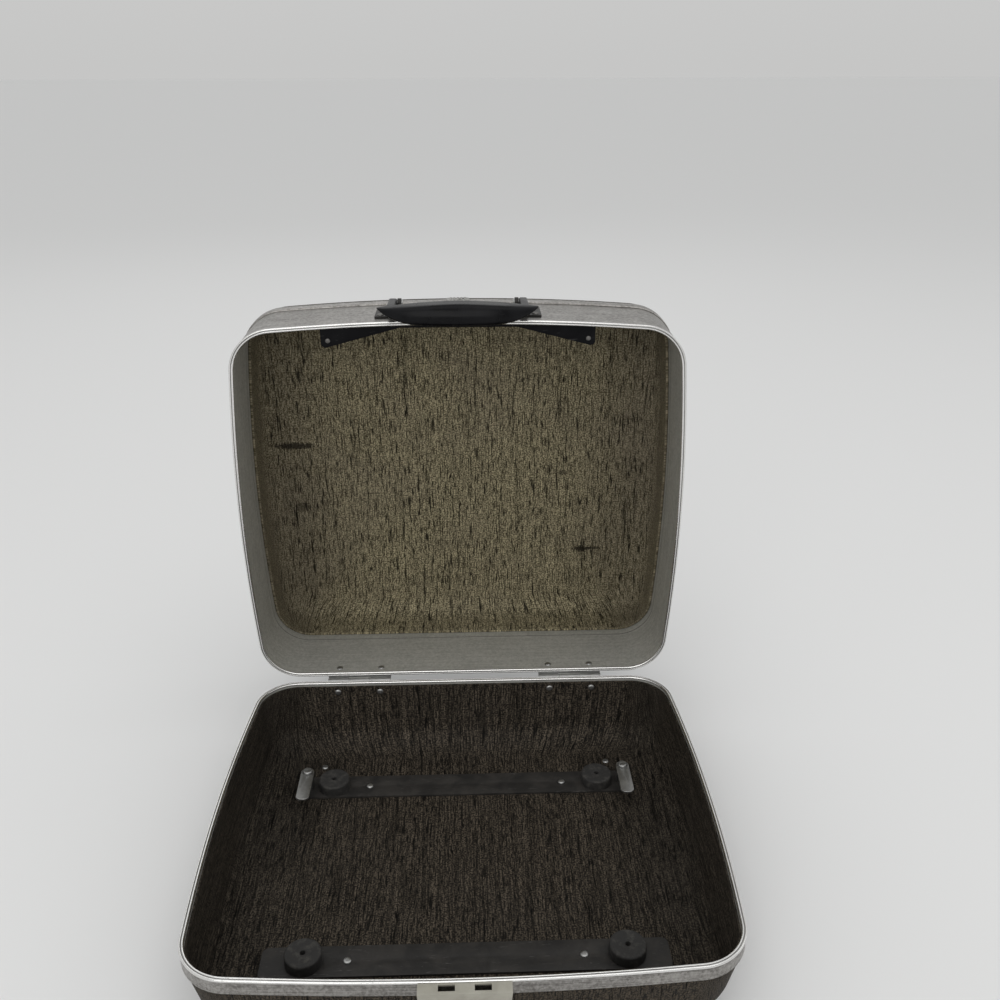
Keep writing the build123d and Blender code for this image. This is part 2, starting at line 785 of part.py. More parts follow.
def handle():
    """Folding handle: hollow grip and two arms to the pivots."""
    grip = grip_body() + arm(-1) + arm(1)
    hollow = front_block(
        -grip_hollow_half, grip_hollow_half, -over, grip_crown_out - grip_crown_wall,
        lid_edge - grip_front + grip_wall, lid_edge,
    )
    grip -= fillet(hollow.edges().filter_by(Axis.Y).group_by(Axis.Z)[0], grip_hollow_rounding)
    for side in (-1, 1):
        start = (side * (arm_inner - over), pivot_y, pivot_z)
        grip -= rod(start, (side, 0, 0), arm_thickness + 2 * over, pivot_pin_radius + pin_fit)
    return grip


def arm(side):
    """Arm from the grip back to its pivot boss."""
    x0, x1 = sorted((side * arm_inner, side * (arm_inner + arm_thickness)))
    root = -arm_root_back
    shape = make_face(Polyline(
        grip_point(pivot_out - boss_radius, pivot_above_lip),
        grip_point(pivot_out + boss_radius, pivot_above_lip),
        grip_point(grip_tip_out, root),
        grip_point(arm_root_out, root),
        close=True,
    ))
    body = Pos(x0, 0, 0) * extrude(Plane.YZ * shape, x1 - x0)
    return body + rod((x0, pivot_y, pivot_z), (1, 0, 0), x1 - x0, boss_radius)


def rail_rivet_places():
    """Rivets that hold the two rails down."""
    places = []
    for y in (front_rail_y, back_rail_y):
        for x in (-rail_rivet_x, rail_rivet_x):
            places.append((x, y, rail_top))
    return places


def seat_places():
    """Centres of the four seats, at the rails' top."""
    places = []
    for y in (front_rail_y, back_rail_y):
        for x in (-seat_x, seat_x):
            places.append((x, y, rail_top))
    return places


def foot_places():
    """Centres of the four feet."""
    return [(x, y) for y in (-foot_y, foot_y) for x in (-foot_x, foot_x)]


def machine_hole(place):
    """Hole for a machine screw from below."""
    x, y, z = place
    return rod((x, y, foot_height - over), (0, 0, 1), rail_top + seat_height, machine_hole_radius)


def rail(y):
    """Flat steel rail across the tray's floor."""
    strip = block(-rail_half, rail_half, y - rail_width / 2, y + rail_width / 2, floor_top, rail_top)
    strip = fillet(strip.edges().filter_by(Axis.Z), rail_corner_radius)
    for place in rail_rivet_places():
        strip -= rivet_hole(place, (0, 0, -1), rail_steel + tray_wall)
    for place in seat_places():
        strip -= machine_hole(place)
    return strip


def seat(place):
    """Rubber seat that the machine stands on."""
    pad = Pos(*place) * Cylinder(seat_radius, seat_height, align=UP)
    pad = fillet(pad.edges().group_by(Axis.Z)[-1], seat_rounding)
    return pad - machine_hole(place)


def clip_post():
    """Posts that carry the two hold-down clips."""
    posts = [
        Pos(side * clip_x, back_rail_y, rail_top) * Cylinder(post_radius, post_height, align=UP)
        for side in (-1, 1)
    ]
    return Part() + posts


clip_low = rail_top + post_height + clip_gap


def clip(side):
    """Hold-down clip, turned out of the machine's way."""
    half = clip_width / 2
    x = side * clip_x
    tip_y = back_rail_y - clip_length
    strip = block(x - half, x + half, tip_y, back_rail_y, clip_low, clip_low + clip_steel)
    strip += Pos(x, back_rail_y, clip_low) * Cylinder(half, clip_steel, align=UP)
    strip = fillet(strip.edges().filter_by(Axis.Z).group_by(Axis.Y)[0], clip_tip_rounding)
    bore_start = (x, back_rail_y, clip_low - over)
    return strip - rod(bore_start, (0, 0, 1), clip_steel + 2 * over, clip_screw_radius + pin_fit)


def clip_screw(side):
    """Shouldered screw that a clip turns on."""
    x = side * clip_x
    shank_length = clip_gap * 2 + clip_steel
    shank = rod((x, back_rail_y, rail_top + post_height), (0, 0, 1), shank_length, clip_screw_radius)
    head_z = rail_top + post_height + shank_length
    head = Pos(x, back_rail_y, head_z) * Cylinder(clip_head_radius, clip_head_height, align=UP)
    head = fillet(head.edges().group_by(Axis.Z)[-1], clip_head_rounding)
    half = screw_slot_width / 2
    reach = clip_head_radius + over
    slot_low = head_z + clip_head_height - screw_slot_depth
    slot = block(x - reach, x + reach, back_rail_y - half, back_rail_y + half, slot_low, slot_low + reach)
    return shank + head - slot


def foot(place):
    """Rubber foot with a recess for its rivet."""
    x, y = place
    pad = Pos(x, y, 0) * Cylinder(foot_radius, foot_height, align=UP)
    pad = fillet(pad.edges().group_by(Axis.Z)[0], foot_rounding)
    pad -= rod((x, y, -over), (0, 0, 1), foot_recess_depth + over, foot_recess_radius)
    return pad - rod((x, y, 0), (0, 0, 1), foot_height + over, rivet_radius + rivet_fit)


def foot_rivet(place):
    """Rivet of one foot: a head in the tray and a head in the foot's recess."""
    x, y = place
    return rivet((x, y, floor_top), (0, 0, -1), floor_top - foot_recess_depth)


def opened(shape):
    """The lid and what it carries, swung open to the hinge's stop."""
    axis = Axis((0, hinge_y, hinge_z), (1, 0, 0))
    return shape.rotate(axis, -open_angle)


def write(name, shape):
    """One file for each piece, moved so that the frame is under the open case's middle."""
    export_step(Pos(0, -frame_y, 0) * shape, f"parts/{name}.step")


def build_base():
    """Tray, rim, striker, feet, rails, seats and posts."""
    tray = base_tray()
    rim = base_rim()
    for place in rail_rivet_places():
        tray -= rivet_hole(place, (0, 0, -1), rail_steel + tray_wall)
    for place in seat_places():
        tray -= machine_hole(place)
    for x, y in foot_places():
        tray -= rivet_hole((x, y, floor_top), (0, 0, -1), tray_wall)
    for place in striker_rivet_places():
        tray -= rivet_hole(place, striker_rivet_way, striker_grip)
    for x in (-hinge_offset, hinge_offset):
        for place in hinge_rivet_places(x, base_rivet_z):
            hole = rivet_hole(place, (0, -1, 0), base_hinge_grip)
            tray -= hole
            rim -= hole
    write("base_tray", tray)
    write("base_rim", rim)
    write("striker_bracket", striker_bracket())
    rivets = [rivet(p, striker_rivet_way, striker_grip) for p in striker_rivet_places()]
    write("striker_rivets", Part() + rivets)
    write("front_rail", rail(front_rail_y))
    write("back_rail", rail(back_rail_y))
    rivets = [rivet(p, (0, 0, -1), rail_steel + tray_wall) for p in rail_rivet_places()]
    write("rail_rivets", Part() + rivets)
    for name, place in zip(("front_left", "front_right", "back_left", "back_right"), seat_places()):
        write(f"seat_{name}", seat(place))
    for name, place in zip(("front_left", "front_right", "back_left", "back_right"), foot_places()):
        write(f"foot_{name}", foot(place))
    write("foot_rivets", Part() + [foot_rivet(p) for p in foot_places()])
    write("clip_posts", clip_post())
    write("clip_screws", clip_screw(-1) + clip_screw(1))
    write("hold_down_clip_left", clip(-1))
    write("hold_down_clip_right", clip(1))


def build_hinges():
    """Both hinges, with their pins and rivets."""
    base_rivets = []
    lid_rivets = []
    for name, x in (("left", -hinge_offset), ("right", hinge_offset)):
        write(f"hinge_base_leaf_{name}", base_leaf(x))
        write(f"hinge_pin_{name}", hinge_pin(x))
        write(f"hinge_lid_leaf_{name}", opened(lid_leaf(x)))
        for place in hinge_rivet_places(x, base_rivet_z):
            base_rivets.append(rivet(place, (0, -1, 0), base_hinge_grip))
        for place in hinge_rivet_places(x, lid_leaf_rivet_z):
            lid_rivets.append(rivet(place, (0, -1, 0), lid_hinge_grip))
    write("hinge_base_rivets", Part() + base_rivets)
    write("hinge_lid_rivets", opened(Part() + lid_rivets))


def build_lid():
    """Band, shell, backing plate, latch, brackets and handle."""
    band = lid_band()
    for place in latch_rivet_places():
        band -= rivet_hole(place, front_way(place[0]), latch_grip)
    for side in (-1, 1):
        for place in bracket_rivet_places(side):
            band -= rivet_hole(place, front_way(place[0]), bracket_grip)
    for x in (-hinge_offset, hinge_offset):
        for place in hinge_rivet_places(x, lid_leaf_rivet_z):
            band -= rivet_hole(place, (0, -1, 0), lid_hinge_grip)
    write("lid_band", opened(band))
    write("lid_shell", opened(lid_shell()))
    write("backing_plate", opened(backing_plate()))
    wing = [
        rivet(p, (0, 0, 1), backing_steel, wing_rivet_radius, wing_rivet_head_radius)
        for p in wing_rivet_places()
    ]
    write("backing_rivets", opened(Part() + wing))
    write("latch_plate", opened(latch_plate()))
    write("latch_cover", opened(latch_cover()))
    rivets = [rivet(p, front_way(p[0]), latch_grip) for p in latch_rivet_places()]
    write("latch_rivets", opened(Part() + rivets))
    write("latch_bar", opened(latch_bar()))
    write("latch_thumb", opened(latch_thumb()))
    bracket_rivets = []
    for name, side in (("left", -1), ("right", 1)):
        write(f"handle_bracket_{name}", opened(handle_bracket(side)))
        write(f"handle_pin_{name}", opened(pivot_pin(side)))
        bracket_rivets += [rivet(p, front_way(p[0]), bracket_grip) for p in bracket_rivet_places(side)]
    write("bracket_rivets", opened(Part() + bracket_rivets))
    write("handle", opened(handle()))


build_base()
build_hinges()
build_lid()
print("frame_y", round(frame_y, 3), "hinge", round(hinge_y - frame_y, 3), round(hinge_z, 3))
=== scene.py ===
import bpy, bmesh, json, math
from mathutils import Matrix, Vector


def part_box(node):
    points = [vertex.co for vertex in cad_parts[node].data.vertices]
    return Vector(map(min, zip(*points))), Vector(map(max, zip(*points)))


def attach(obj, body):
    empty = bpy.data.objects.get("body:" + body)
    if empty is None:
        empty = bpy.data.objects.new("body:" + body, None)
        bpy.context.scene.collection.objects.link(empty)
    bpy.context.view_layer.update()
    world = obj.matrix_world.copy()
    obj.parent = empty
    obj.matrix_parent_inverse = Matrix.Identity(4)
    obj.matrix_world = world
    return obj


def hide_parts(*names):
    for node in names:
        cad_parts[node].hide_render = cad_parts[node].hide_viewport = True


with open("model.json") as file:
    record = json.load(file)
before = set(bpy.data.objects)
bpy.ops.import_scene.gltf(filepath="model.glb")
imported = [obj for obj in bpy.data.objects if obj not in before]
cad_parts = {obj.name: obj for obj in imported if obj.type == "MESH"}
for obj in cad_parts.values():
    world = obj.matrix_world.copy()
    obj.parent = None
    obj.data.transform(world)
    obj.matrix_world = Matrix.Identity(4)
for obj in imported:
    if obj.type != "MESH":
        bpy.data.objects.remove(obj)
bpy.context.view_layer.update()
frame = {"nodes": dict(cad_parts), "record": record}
nodes = frame["nodes"]
record = frame["record"]
bodyOf = {node: body for body, members in record["behaviour"]["bodies"].items() for node in members}
mm = 0.001
print("frame loaded:", len(nodes), "nodes")

# the case's own frame: x across, y from front to back about its middle, and the third value
# up from the table in the base, or away from the lip in the lid
rimLow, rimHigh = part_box("base_rim")
bandLow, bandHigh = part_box("lid_band")
baseMiddle = (rimLow.y + rimHigh.y) / 2
lidMiddle = (bandLow.z + bandHigh.z) / 2
toBase = Matrix.Translation((0, baseMiddle, 0))
toRim = Matrix.Translation((0, baseMiddle, rimHigh.z))
toLid = Matrix.Translation((0, bandLow.y, lidMiddle)) @ Matrix.Rotation(-math.pi / 2, 4, "X")

caseShape = {
    "width": rimHigh.x - rimLow.x, "depth": rimHigh.y - rimLow.y,
    "sideBow": 8 * mm, "frontBow": 8 * mm, "frontCorner": 37 * mm, "backCorner": 35 * mm,
    "frontSteps": 30, "cornerSteps": 18, "sideSteps": 40, "backSteps": 16, "jointHalf": 0.3 * mm,
}


def circleThrough(a, b, c):
    d = 2 * (a.x * (b.y - c.y) + b.x * (c.y - a.y) + c.x * (a.y - b.y))
    s, t, w = a.length_squared, b.length_squared, c.length_squared
    x = (s * (b.y - c.y) + t * (c.y - a.y) + w * (a.y - b.y)) / d
    y = (s * (c.x - b.x) + t * (a.x - c.x) + w * (b.x - a.x)) / d
    centre = Vector((x, y))
    return centre, (a - centre).length


def arcPoints(centre, radius, start, end, steps):
    turns = [start + (end - start) * k / steps for k in range(steps)]
    ways = [Vector((math.cos(turn), math.sin(turn))) for turn in turns]
    return [(centre + radius * way, way) for way in ways]


# points and outward ways round the case, from the joint in the middle of the back, over the left
# side, the front and the right side
def caseOutline(inset, cornerInset):
    s = caseShape
    half, front, back = s["width"] / 2 - inset, inset - s["depth"] / 2, s["depth"] / 2 - inset
    bend = Vector((half - s["sideBow"], front + s["frontBow"]))
    frontCentre, frontRadius = circleThrough(Vector((-bend.x, bend.y)), Vector((0, front)), bend)
    sideCentre, sideRadius = circleThrough(bend, Vector((half, 0)), Vector((bend.x, back)))
    r1, r2 = s["frontCorner"] - cornerInset, s["backCorner"] - cornerInset
    between = sideCentre - frontCentre
    a, b = frontRadius - r1, sideRadius - r1
    along = (a * a - b * b + between.length_squared) / (2 * between.length)
    aside = math.sqrt(a * a - along * along)
    way = between.normalized()
    across = Vector((-way.y, way.x))
    first, second = frontCentre + way * along + across * aside, frontCentre + way * along - across * aside
    frontCorner = first if first.y < second.y else second
    reach = math.sqrt((sideRadius - r2) ** 2 - (back - r2 - sideCentre.y) ** 2)
    backCorner = Vector((sideCentre.x + reach, back - r2))
    turn1 = math.atan2(frontCorner.y - frontCentre.y, frontCorner.x - frontCentre.x)
    turn2 = math.atan2(frontCorner.y - sideCentre.y, frontCorner.x - sideCentre.x)
    turn3 = math.atan2(backCorner.y - sideCentre.y, backCorner.x - sideCentre.x)
    right = arcPoints(frontCentre, frontRadius, -math.pi / 2, turn1, s["frontSteps"])
    right += arcPoints(frontCorner, r1, turn1, turn2, s["cornerSteps"])
    right += arcPoints(sideCentre, sideRadius, turn2, turn3, s["sideSteps"])
    right += arcPoints(backCorner, r2, turn3, math.pi / 2, s["cornerSteps"])
    for k in range(s["backSteps"]):
        x = backCorner.x + (s["jointHalf"] - backCorner.x) * k / (s["backSteps"] - 1)
        right.append((Vector((x, back)), Vector((0, 1))))
    left = [(Vector((-p.x, p.y)), Vector((-n.x, n.y))) for p, n in reversed(right[1:])]
    return left + right


def outwardNormals(mesh):
    bm = bmesh.new()
    bm.from_mesh(mesh)
    bmesh.ops.recalc_face_normals(bm, faces=bm.faces)
    bm.to_mesh(mesh)
    bm.free()


def smoothed(mesh, sharpAngle=50):
    mesh.polygons.foreach_set("use_smooth", [True] * len(mesh.polygons))
    mesh.set_sharp_from_angle(angle=math.radians(sharpAngle))


def evaluatedMesh(piece):
    graph = bpy.context.evaluated_depsgraph_get()
    mesh = bpy.data.meshes.new_from_object(piece.evaluated_get(graph))
    bpy.data.objects.remove(piece)
    return mesh


def linked(name, data):
    piece = bpy.data.objects.new(name, data)
    bpy.context.scene.collection.objects.link(piece)
    return piece


# a mesh that a function fills with faces
def meshFrom(name, fill):
    bm = bmesh.new()
    fill(bm)
    bmesh.ops.recalc_face_normals(bm, faces=bm.faces)
    mesh = bpy.data.meshes.new(name)
    bm.to_mesh(mesh)
    bm.free()
    return mesh


# faces between two rings of corners, either of which may be a single corner
def joinRings(bm, one, two):
    count = max(len(one), len(two))
    for k in range(count):
        n = (k + 1) % count
        corners = one[k % len(one)], one[n % len(one)], two[n % len(two)], two[k % len(two)]
        bm.faces.new(list(dict.fromkeys(corners)))


def addBore(bm, radius, depth, place):
    bmesh.ops.create_cone(
        bm, cap_ends=True, segments=32, radius1=radius, radius2=radius, depth=depth, matrix=place,
    )


def cutOut(piece, cutter):
    cut = piece.modifiers.new(cutter.name, "BOOLEAN")
    cut.operation, cut.object, cut.solver = "DIFFERENCE", cutter, "EXACT"


# what a piece needs once its mesh is whole: its place, the nodes it stands for, its body and finish
def finishPiece(name, mesh, replaced, material=None, place=None):
    if place is not None:
        mesh.transform(place)
    piece = linked(name, mesh)
    if material:
        mesh.materials.clear()
        mesh.materials.append(material)
    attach(piece, bodyOf[replaced[0]])
    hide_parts(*replaced)
    return piece


# a socket whose maths is written as Python
class Wire:
    def __init__(self, nodeTree, socket):
        self.nodeTree, self.socket = nodeTree, socket

    def maths(self, operation, first, second):
        return self.nodeTree.add("ShaderNodeMath", {"operation": operation}, {0: first, 1: second})

    def other(self, key):
        return Wire(self.nodeTree, self.socket.node.outputs[key])

    def __add__(self, value):
        return self.maths("ADD", self, value)

    def __sub__(self, value):
        return self.maths("SUBTRACT", self, value)

    def __rsub__(self, value):
        return self.maths("SUBTRACT", value, self)

    def __mul__(self, value):
        return self.maths("MULTIPLY", self, value)

    __radd__, __rmul__ = __add__, __mul__


# any node: its type, its settings, the values or wires of its sockets, and the output that is wanted
class NodeTree:
    def add(self, kind, settings, sockets, out=0):
        node = self.tree.nodes.new(kind)
        for key, value in settings.items():
            setattr(node, key, value)
        for key, value in sockets.items():
            self.feed(node.inputs[key], value)
        return Wire(self, node.outputs[out])

    def feed(self, socket, value):
        if isinstance(value, Wire):
            self.tree.links.new(value.socket, socket)
        else:
            socket.default_value = (*value, 1.0) if socket.type == "RGBA" else value


# geometry nodes with named inputs, whose result becomes a plain mesh
class Recipe(NodeTree):
    def __init__(self, name, **inputs):
        self.tree = bpy.data.node_groups.new(name, "GeometryNodeTree")
        face = self.tree.interface
        face.new_socket("Geometry", in_out="INPUT", socket_type="NodeSocketGeometry")
        face.new_socket("Geometry", in_out="OUTPUT", socket_type="NodeSocketGeometry")
        for label, kind in inputs.items():
            face.new_socket(label, in_out="INPUT", socket_type="NodeSocket" + kind)
        self.start = self.tree.nodes.new("NodeGroupInput")
        self.end = self.tree.nodes.new("NodeGroupOutput")

    def given(self, label):
        return Wire(self, self.start.outputs[label])

    def shape(self, label):
        return self.add("GeometryNodeObjectInfo", {}, {"Object": self.given(label)}, out="Geometry")

    def keep(self, geometry, name, kind, value):
        settings = {"data_type": kind, "domain": "POINT"}
        sockets = {"Geometry": geometry, "Name": name, "Value": value}
        return self.add("GeometryNodeStoreNamedAttribute", settings, sockets)

    def finishWith(self, geometry, material):
        real = self.add("GeometryNodeRealizeInstances", {}, {"Geometry": geometry})
        painted = self.add("GeometryNodeSetMaterial", {}, {"Geometry": real, "Material": material})
        self.feed(self.end.inputs["Geometry"], painted)

    def made(self, name, startMesh, **values):
        piece = linked(name, startMesh)
        modifier = piece.modifiers.new(name, "NODES")
        modifier.node_group = self.tree
        for item in self.tree.interface.items_tree:
            if item.in_out == "INPUT" and item.name in values:
                modifier[item.identifier] = values[item.name]
        return evaluatedMesh(piece)


# one material made from a look: each of its grains has a scale, detail, roughness and distortion, and
# its pull along x and y if it is drawn out; the levels say where something starts to show and is full
class Finish(NodeTree):
    def __init__(self, name, look):
        self.material = bpy.data.materials.new(name)
        self.material.use_nodes = True
        self.tree = self.material.node_tree
        self.shader = self.tree.nodes["Principled BSDF"]
        self.look = look
        self.shader.inputs["Specular IOR Level"].default_value = look["gloss"]

    def place(self):
        return self.add("ShaderNodeTexCoord", {}, {}, out="Object")

    def sheet(self):
        return self.add("ShaderNodeUVMap", {"uv_map": "sheet"}, {})

    def kept(self, name, out="Fac"):
        return self.add("ShaderNodeAttribute", {"attribute_name": name}, {}, out=out)

    def firstTwo(self, vector):
        x = self.add("ShaderNodeSeparateXYZ", {}, {0: vector})
        return x, x.other(1)

    def joined(self, x, y, z):
        return self.add("ShaderNodeCombineXYZ", {}, {0: x, 1: y, 2: z})

    def moved(self, vector, offset):
        return self.add("ShaderNodeVectorMath", {"operation": "ADD"}, {0: vector, 1: offset})

    def grain(self, key, vector):
        scale, detail, roughness, distortion, *pull = self.look["grains"][key]
        if pull:
            sockets = {0: vector, 1: (*pull, 1.0)}
            vector = self.add("ShaderNodeVectorMath", {"operation": "MULTIPLY"}, sockets)
        sockets = dict(Vector=vector, Scale=scale, Detail=detail, Roughness=roughness, Distortion=distortion)
        return self.add("ShaderNodeTexNoise", {}, sockets)

    def step(self, value, low=0.0, high=1.0):
        settings = {"interpolation_type": "SMOOTHSTEP"}
        return self.add("ShaderNodeMapRange", settings, {"Value": value, "From Min": low, "From Max": high})

    def shown(self, key, value):
        return self.step(value, *self.look["levels"][key])

    def mix(self, factor, first, second):
        return self.add("ShaderNodeMix", {"data_type": "RGBA"}, {0: factor, 6: first, 7: second}, out=2)

    def close(self, colour, roughness, height, metallic=None):
        self.feed(self.shader.inputs["Base Color"], colour)
        self.feed(self.shader.inputs["Roughness"], roughness)
        if metallic is not None:
            self.feed(self.shader.inputs["Metallic"], metallic)
        sockets = {"Strength": self.look["bump"], "Distance": self.look["depth"], "Height": height}
        self.feed(self.shader.inputs["Normal"], self.add("ShaderNodeBump", {}, sockets))
        return self.material


# moulded sheet: pebbled linen with soft strands and thin dark lines that run from front to back, some
# of them broken and heavy; a shell's outer skin has the darker brown
lidGrain = {
    # light is the sheet's pale colour; side is a darker copy of it, painted shade for the floor's sides
    "light": (0.485, 0.425, 0.27), "side": (0.34, 0.295, 0.205), "dark": (0.078, 0.065, 0.036),
    "streak": (0.008, 0.006, 0.003), "cool": (0.150, 0.125, 0.100), "wear": (0.50, 0.46, 0.36),
    "outer": (0.086, 0.069, 0.050), "outerDark": (0.014, 0.011, 0.008),
    "grains": {
        "sway": (60.0, 1.0, 0.5, 0.0, 1.0, 0.5), "pebble": (740.0, 3.0, 0.65, 0.0),
        "thread": (860.0, 2.0, 0.55, 0.0, 1.0, 0.18), "line": (500.0, 2.0, 0.5, 0.0, 1.0, 0.05),
        "gap": (450.0, 2.0, 0.6, 0.0, 1.0, 0.14), "lane": (230.0, 1.0, 0.5, 0.0, 1.0, 0.03),
        "streak": (1500.0, 2.0, 0.6, 0.0, 1.0, 0.035), "strand": (760.0, 2.0, 0.55, 0.0, 1.0, 0.02),
        "patch": (9.0, 3.0, 0.6, 0.6), "speck": (300.0, 4.0, 0.72, 0.0),
    },
    "levels": {
        "line": (0.0026, 0.0004), "gap": (0.42, 0.60), "streak": (0.61, 0.67), "strand": (0.60, 0.40),
        "weave": (0.42, 0.60), "patch": (0.38, 0.70), "speck": (0.70, 0.80), "scuff": (1.5, 0.2),
        "middle": ((165 * mm) ** 2, (60 * mm) ** 2), "wall": ((172 * mm) ** 2, (192 * mm) ** 2),
    },
    "swayWidth": 3.0 * mm, "strandShade": 0.22, "lineShade": 0.85, "streakShade": 0.62, "wallClears": 0.75,
    "patchShade": 0.22, "scuffShade": 0.9, "speckShade": 0.5, "outsideClears": 0.35,
    "roughness": 0.46, "gloss": 0.16, "depth": 0.45 * mm, "bump": 0.85,
}
# the tray's sheet, inside and out: its own darker brown plastic, darkened further as painted shade for the
# deep shade the tray lies in under its machine and rim; its side colour is the same painted shade for the
# floor's sides as the lid's
shadedTrayGrain = dict(
    lidGrain, light=(0.130, 0.106, 0.079), side=(0.092, 0.077, 0.059), dark=(0.011, 0.009, 0.007),
    streak=(0.002, 0.0016, 0.001), cool=(0.030, 0.026, 0.022), wear=(0.14, 0.11, 0.085),
    gloss=0.12, strandShade=0.58,
)
# scuffs on the lid's floor in mm: x, y in the case's frame, half length, half height, strength
lidScuffs = [
    (-154.5, -20.5, 21.0, 3.4, 0.9), (114.0, 89.5, 8.5, 3.2, 1.0), (126.0, 88.5, 9.0, 1.6, 0.8),
    (-152.0, 40.5, 8.0, 5.0, 0.6), (94.5, 9.6, 4.0, 2.6, 0.7), (-139.0, -68.0, 8.0, 3.0, 0.4),
    (58.0, 118.0, 12.0, 2.4, 0.3),
]


def grainedSheet(name, look, scuffs=()):
    f = Finish(name, look)
    sheet = f.sheet()
    sway = (f.grain("sway", sheet) - 0.5) * look["swayWidth"]
    wavy = f.moved(sheet, f.joined(sway, 0.0, 0.0))
    pebble = f.grain("pebble", sheet)
    ridge = f.grain("line", wavy) - 0.5
    gaps = f.shown("gap", f.grain("gap", wavy))
    lines = f.shown("line", ridge * ridge) * gaps
    streak = f.shown("streak", f.grain("streak", wavy) + (f.grain("lane", wavy) - 0.5) * 0.5)
    weave = f.shown("weave", pebble * 0.68 + f.grain("thread", wavy) * 0.32)
    outside = f.kept("outside")
    inside = 1.0 - outside
    across, along = f.firstTwo(sheet)
    # painted shade: the floor takes its pale colour in the middle and the darker side colour towards its left
    # and right
    middle = f.shown("middle", across * across)
    colour = f.mix(weave, look["dark"], f.mix(middle, look["side"], look["light"]))
    strands = f.shown("strand", f.grain("strand", wavy))
    colour = f.mix(strands * look["strandShade"], colour, look["streak"])
    colour = f.mix(outside, colour, f.mix(weave, look["outerDark"], look["outer"]))
    patches = f.shown("patch", f.grain("patch", sheet))
    colour = f.mix(patches * look["patchShade"] * inside, colour, look["cool"])
    wall = f.shown("wall", across * across)
    drawn = f.step(lines * look["lineShade"] + streak * look["streakShade"])
    colour = f.mix(drawn * (1.0 - wall * look["wallClears"]), colour, look["streak"])
    marks = 0.0
    for x, y, halfLength, halfHeight, strength in scuffs:
        dx = (across - x * mm) * (1 / (halfLength * mm))
        dy = (along - y * mm) * (1 / (halfHeight * mm))
        ragged = dx * dx + dy * dy + (gaps - 0.5) * 0.6 + (pebble - 0.5) * 1.6
        marks = f.shown("scuff", ragged) * strength + marks
    if scuffs:
        colour = f.mix(f.step(marks) * look["scuffShade"] * inside, colour, look["streak"])
    specks = f.shown("speck", f.grain("speck", sheet))
    colour = f.mix(specks * (look["speckShade"] - outside * look["outsideClears"]), colour, look["wear"])
    rough = look["roughness"] + pebble * 0.22 + streak * 0.2 - specks * 0.1
    height = weave * 0.62 + pebble * 0.38 - lines * 0.4 - streak * 0.6
    return f.close(colour, rough, height)


# rolled aluminium, drawn along its length, speckled with age and with dirt in its grooves and in its
# lip's slot; its lip is polished and its inner face is duller, less metallic and paler, the paler colour
# partly painted light on that shaded face
rolledLook = {
    "bright": (0.44, 0.425, 0.405), "dull": (0.155, 0.146, 0.136), "dirt": (0.030, 0.026, 0.022),
    # inner and innerDull: the inner face's colours, paler than the outside's, partly painted light
    "inner": (0.58, 0.575, 0.54), "innerDull": (0.38, 0.375, 0.345),
    "polished": (0.88, 0.875, 0.86),
    "grains": {
        "line": (1.0, 3.0, 0.65, 0.0, 12.0, 1300.0), "band": (1.0, 2.0, 0.5, 0.0, 7.0, 360.0),
        "bloom": (420.0, 4.0, 0.7, 0.3), "mottle": (60.0, 4.0, 0.6, 0.5),
        "age": (30.0, 4.0, 0.7, 0.6), "speck": (950.0, 3.0, 0.65, 0.0),
    },
    "levels": {
        "worn": (0.38, 0.62), "age": (0.40, 0.72), "speck": (0.60, 0.70), "lip": (2.0 * mm, 1.5 * mm),
        "inner": (-1.35 * mm, -1.55 * mm), "groove": (0.3 * mm, -0.5 * mm),
        "slotFrom": (-1.3 * mm, -1.4 * mm), "slotTo": (-2.05 * mm, -1.95 * mm),
        "slotDeep": (0.75 * mm, 0.5 * mm),
    },
    "grooveFade": 0.25, "polish": 0.8, "dirtShade": 0.85,
    "roughness": 0.34, "gloss": 0.5, "depth": 0.10 * mm, "bump": 0.7,
}


def rolledMetal(name, look, grooves):
    f = Finish(name, look)
    place = f.place()
    along = f.kept("along")
    out, up = f.firstTwo(f.kept("section", "Vector"))
    lines = f.grain("line", f.joined(along, up + out, 0.0))
    bands = f.grain("band", f.joined(along, up + out, 3.0))
    bloom = f.grain("bloom", place)
    worn = f.shown("worn", lines * 0.33 + bloom * 0.41 + bands * 0.12 + f.grain("mottle", place) * 0.14)
    colour = f.mix(worn, look["dull"], look["bright"])
    lip = f.shown("lip", up)
    # the inner face: a duller, less metallic finish whose paler colour is partly painted light on that shaded
    # face
    inner = f.shown("inner", out) * (1.0 - lip)
    colour = f.mix(inner, colour, f.mix(worn, look["innerDull"], look["inner"]))
    colour = f.mix(lip * look["polish"], colour, look["polished"])
    aged = f.shown("age", f.grain("age", place))
    specks = f.shown("speck", f.grain("speck", place)) * (0.25 + aged)
    dirt = specks * 0.62 + aged * 0.10
    fade = look["grooveFade"]
    for start, end in grooves:
        inside = f.step(up, (start - fade) * mm, start * mm) * f.step(up, (end + fade) * mm, end * mm)
        dirt = dirt + inside * f.shown("groove", out) * (0.35 + bloom * 0.6)
    slot = f.shown("slotFrom", out) * f.shown("slotTo", out) * f.shown("slotDeep", up)
    dirt = f.step(dirt + slot)
    colour = f.mix(dirt * look["dirtShade"], colour, look["dirt"])
    rough = look["roughness"] + (1.0 - worn) * 0.14 + dirt * 0.3 + (lines - 0.5) * 0.2
    rough = rough - lip * 0.2 + inner * 0.2
    height = lines * 0.5 + bloom * 0.35 - specks * 0.5
    return f.close(colour, rough, height, metallic=1.0 - dirt * 0.75 - inner * 0.45)


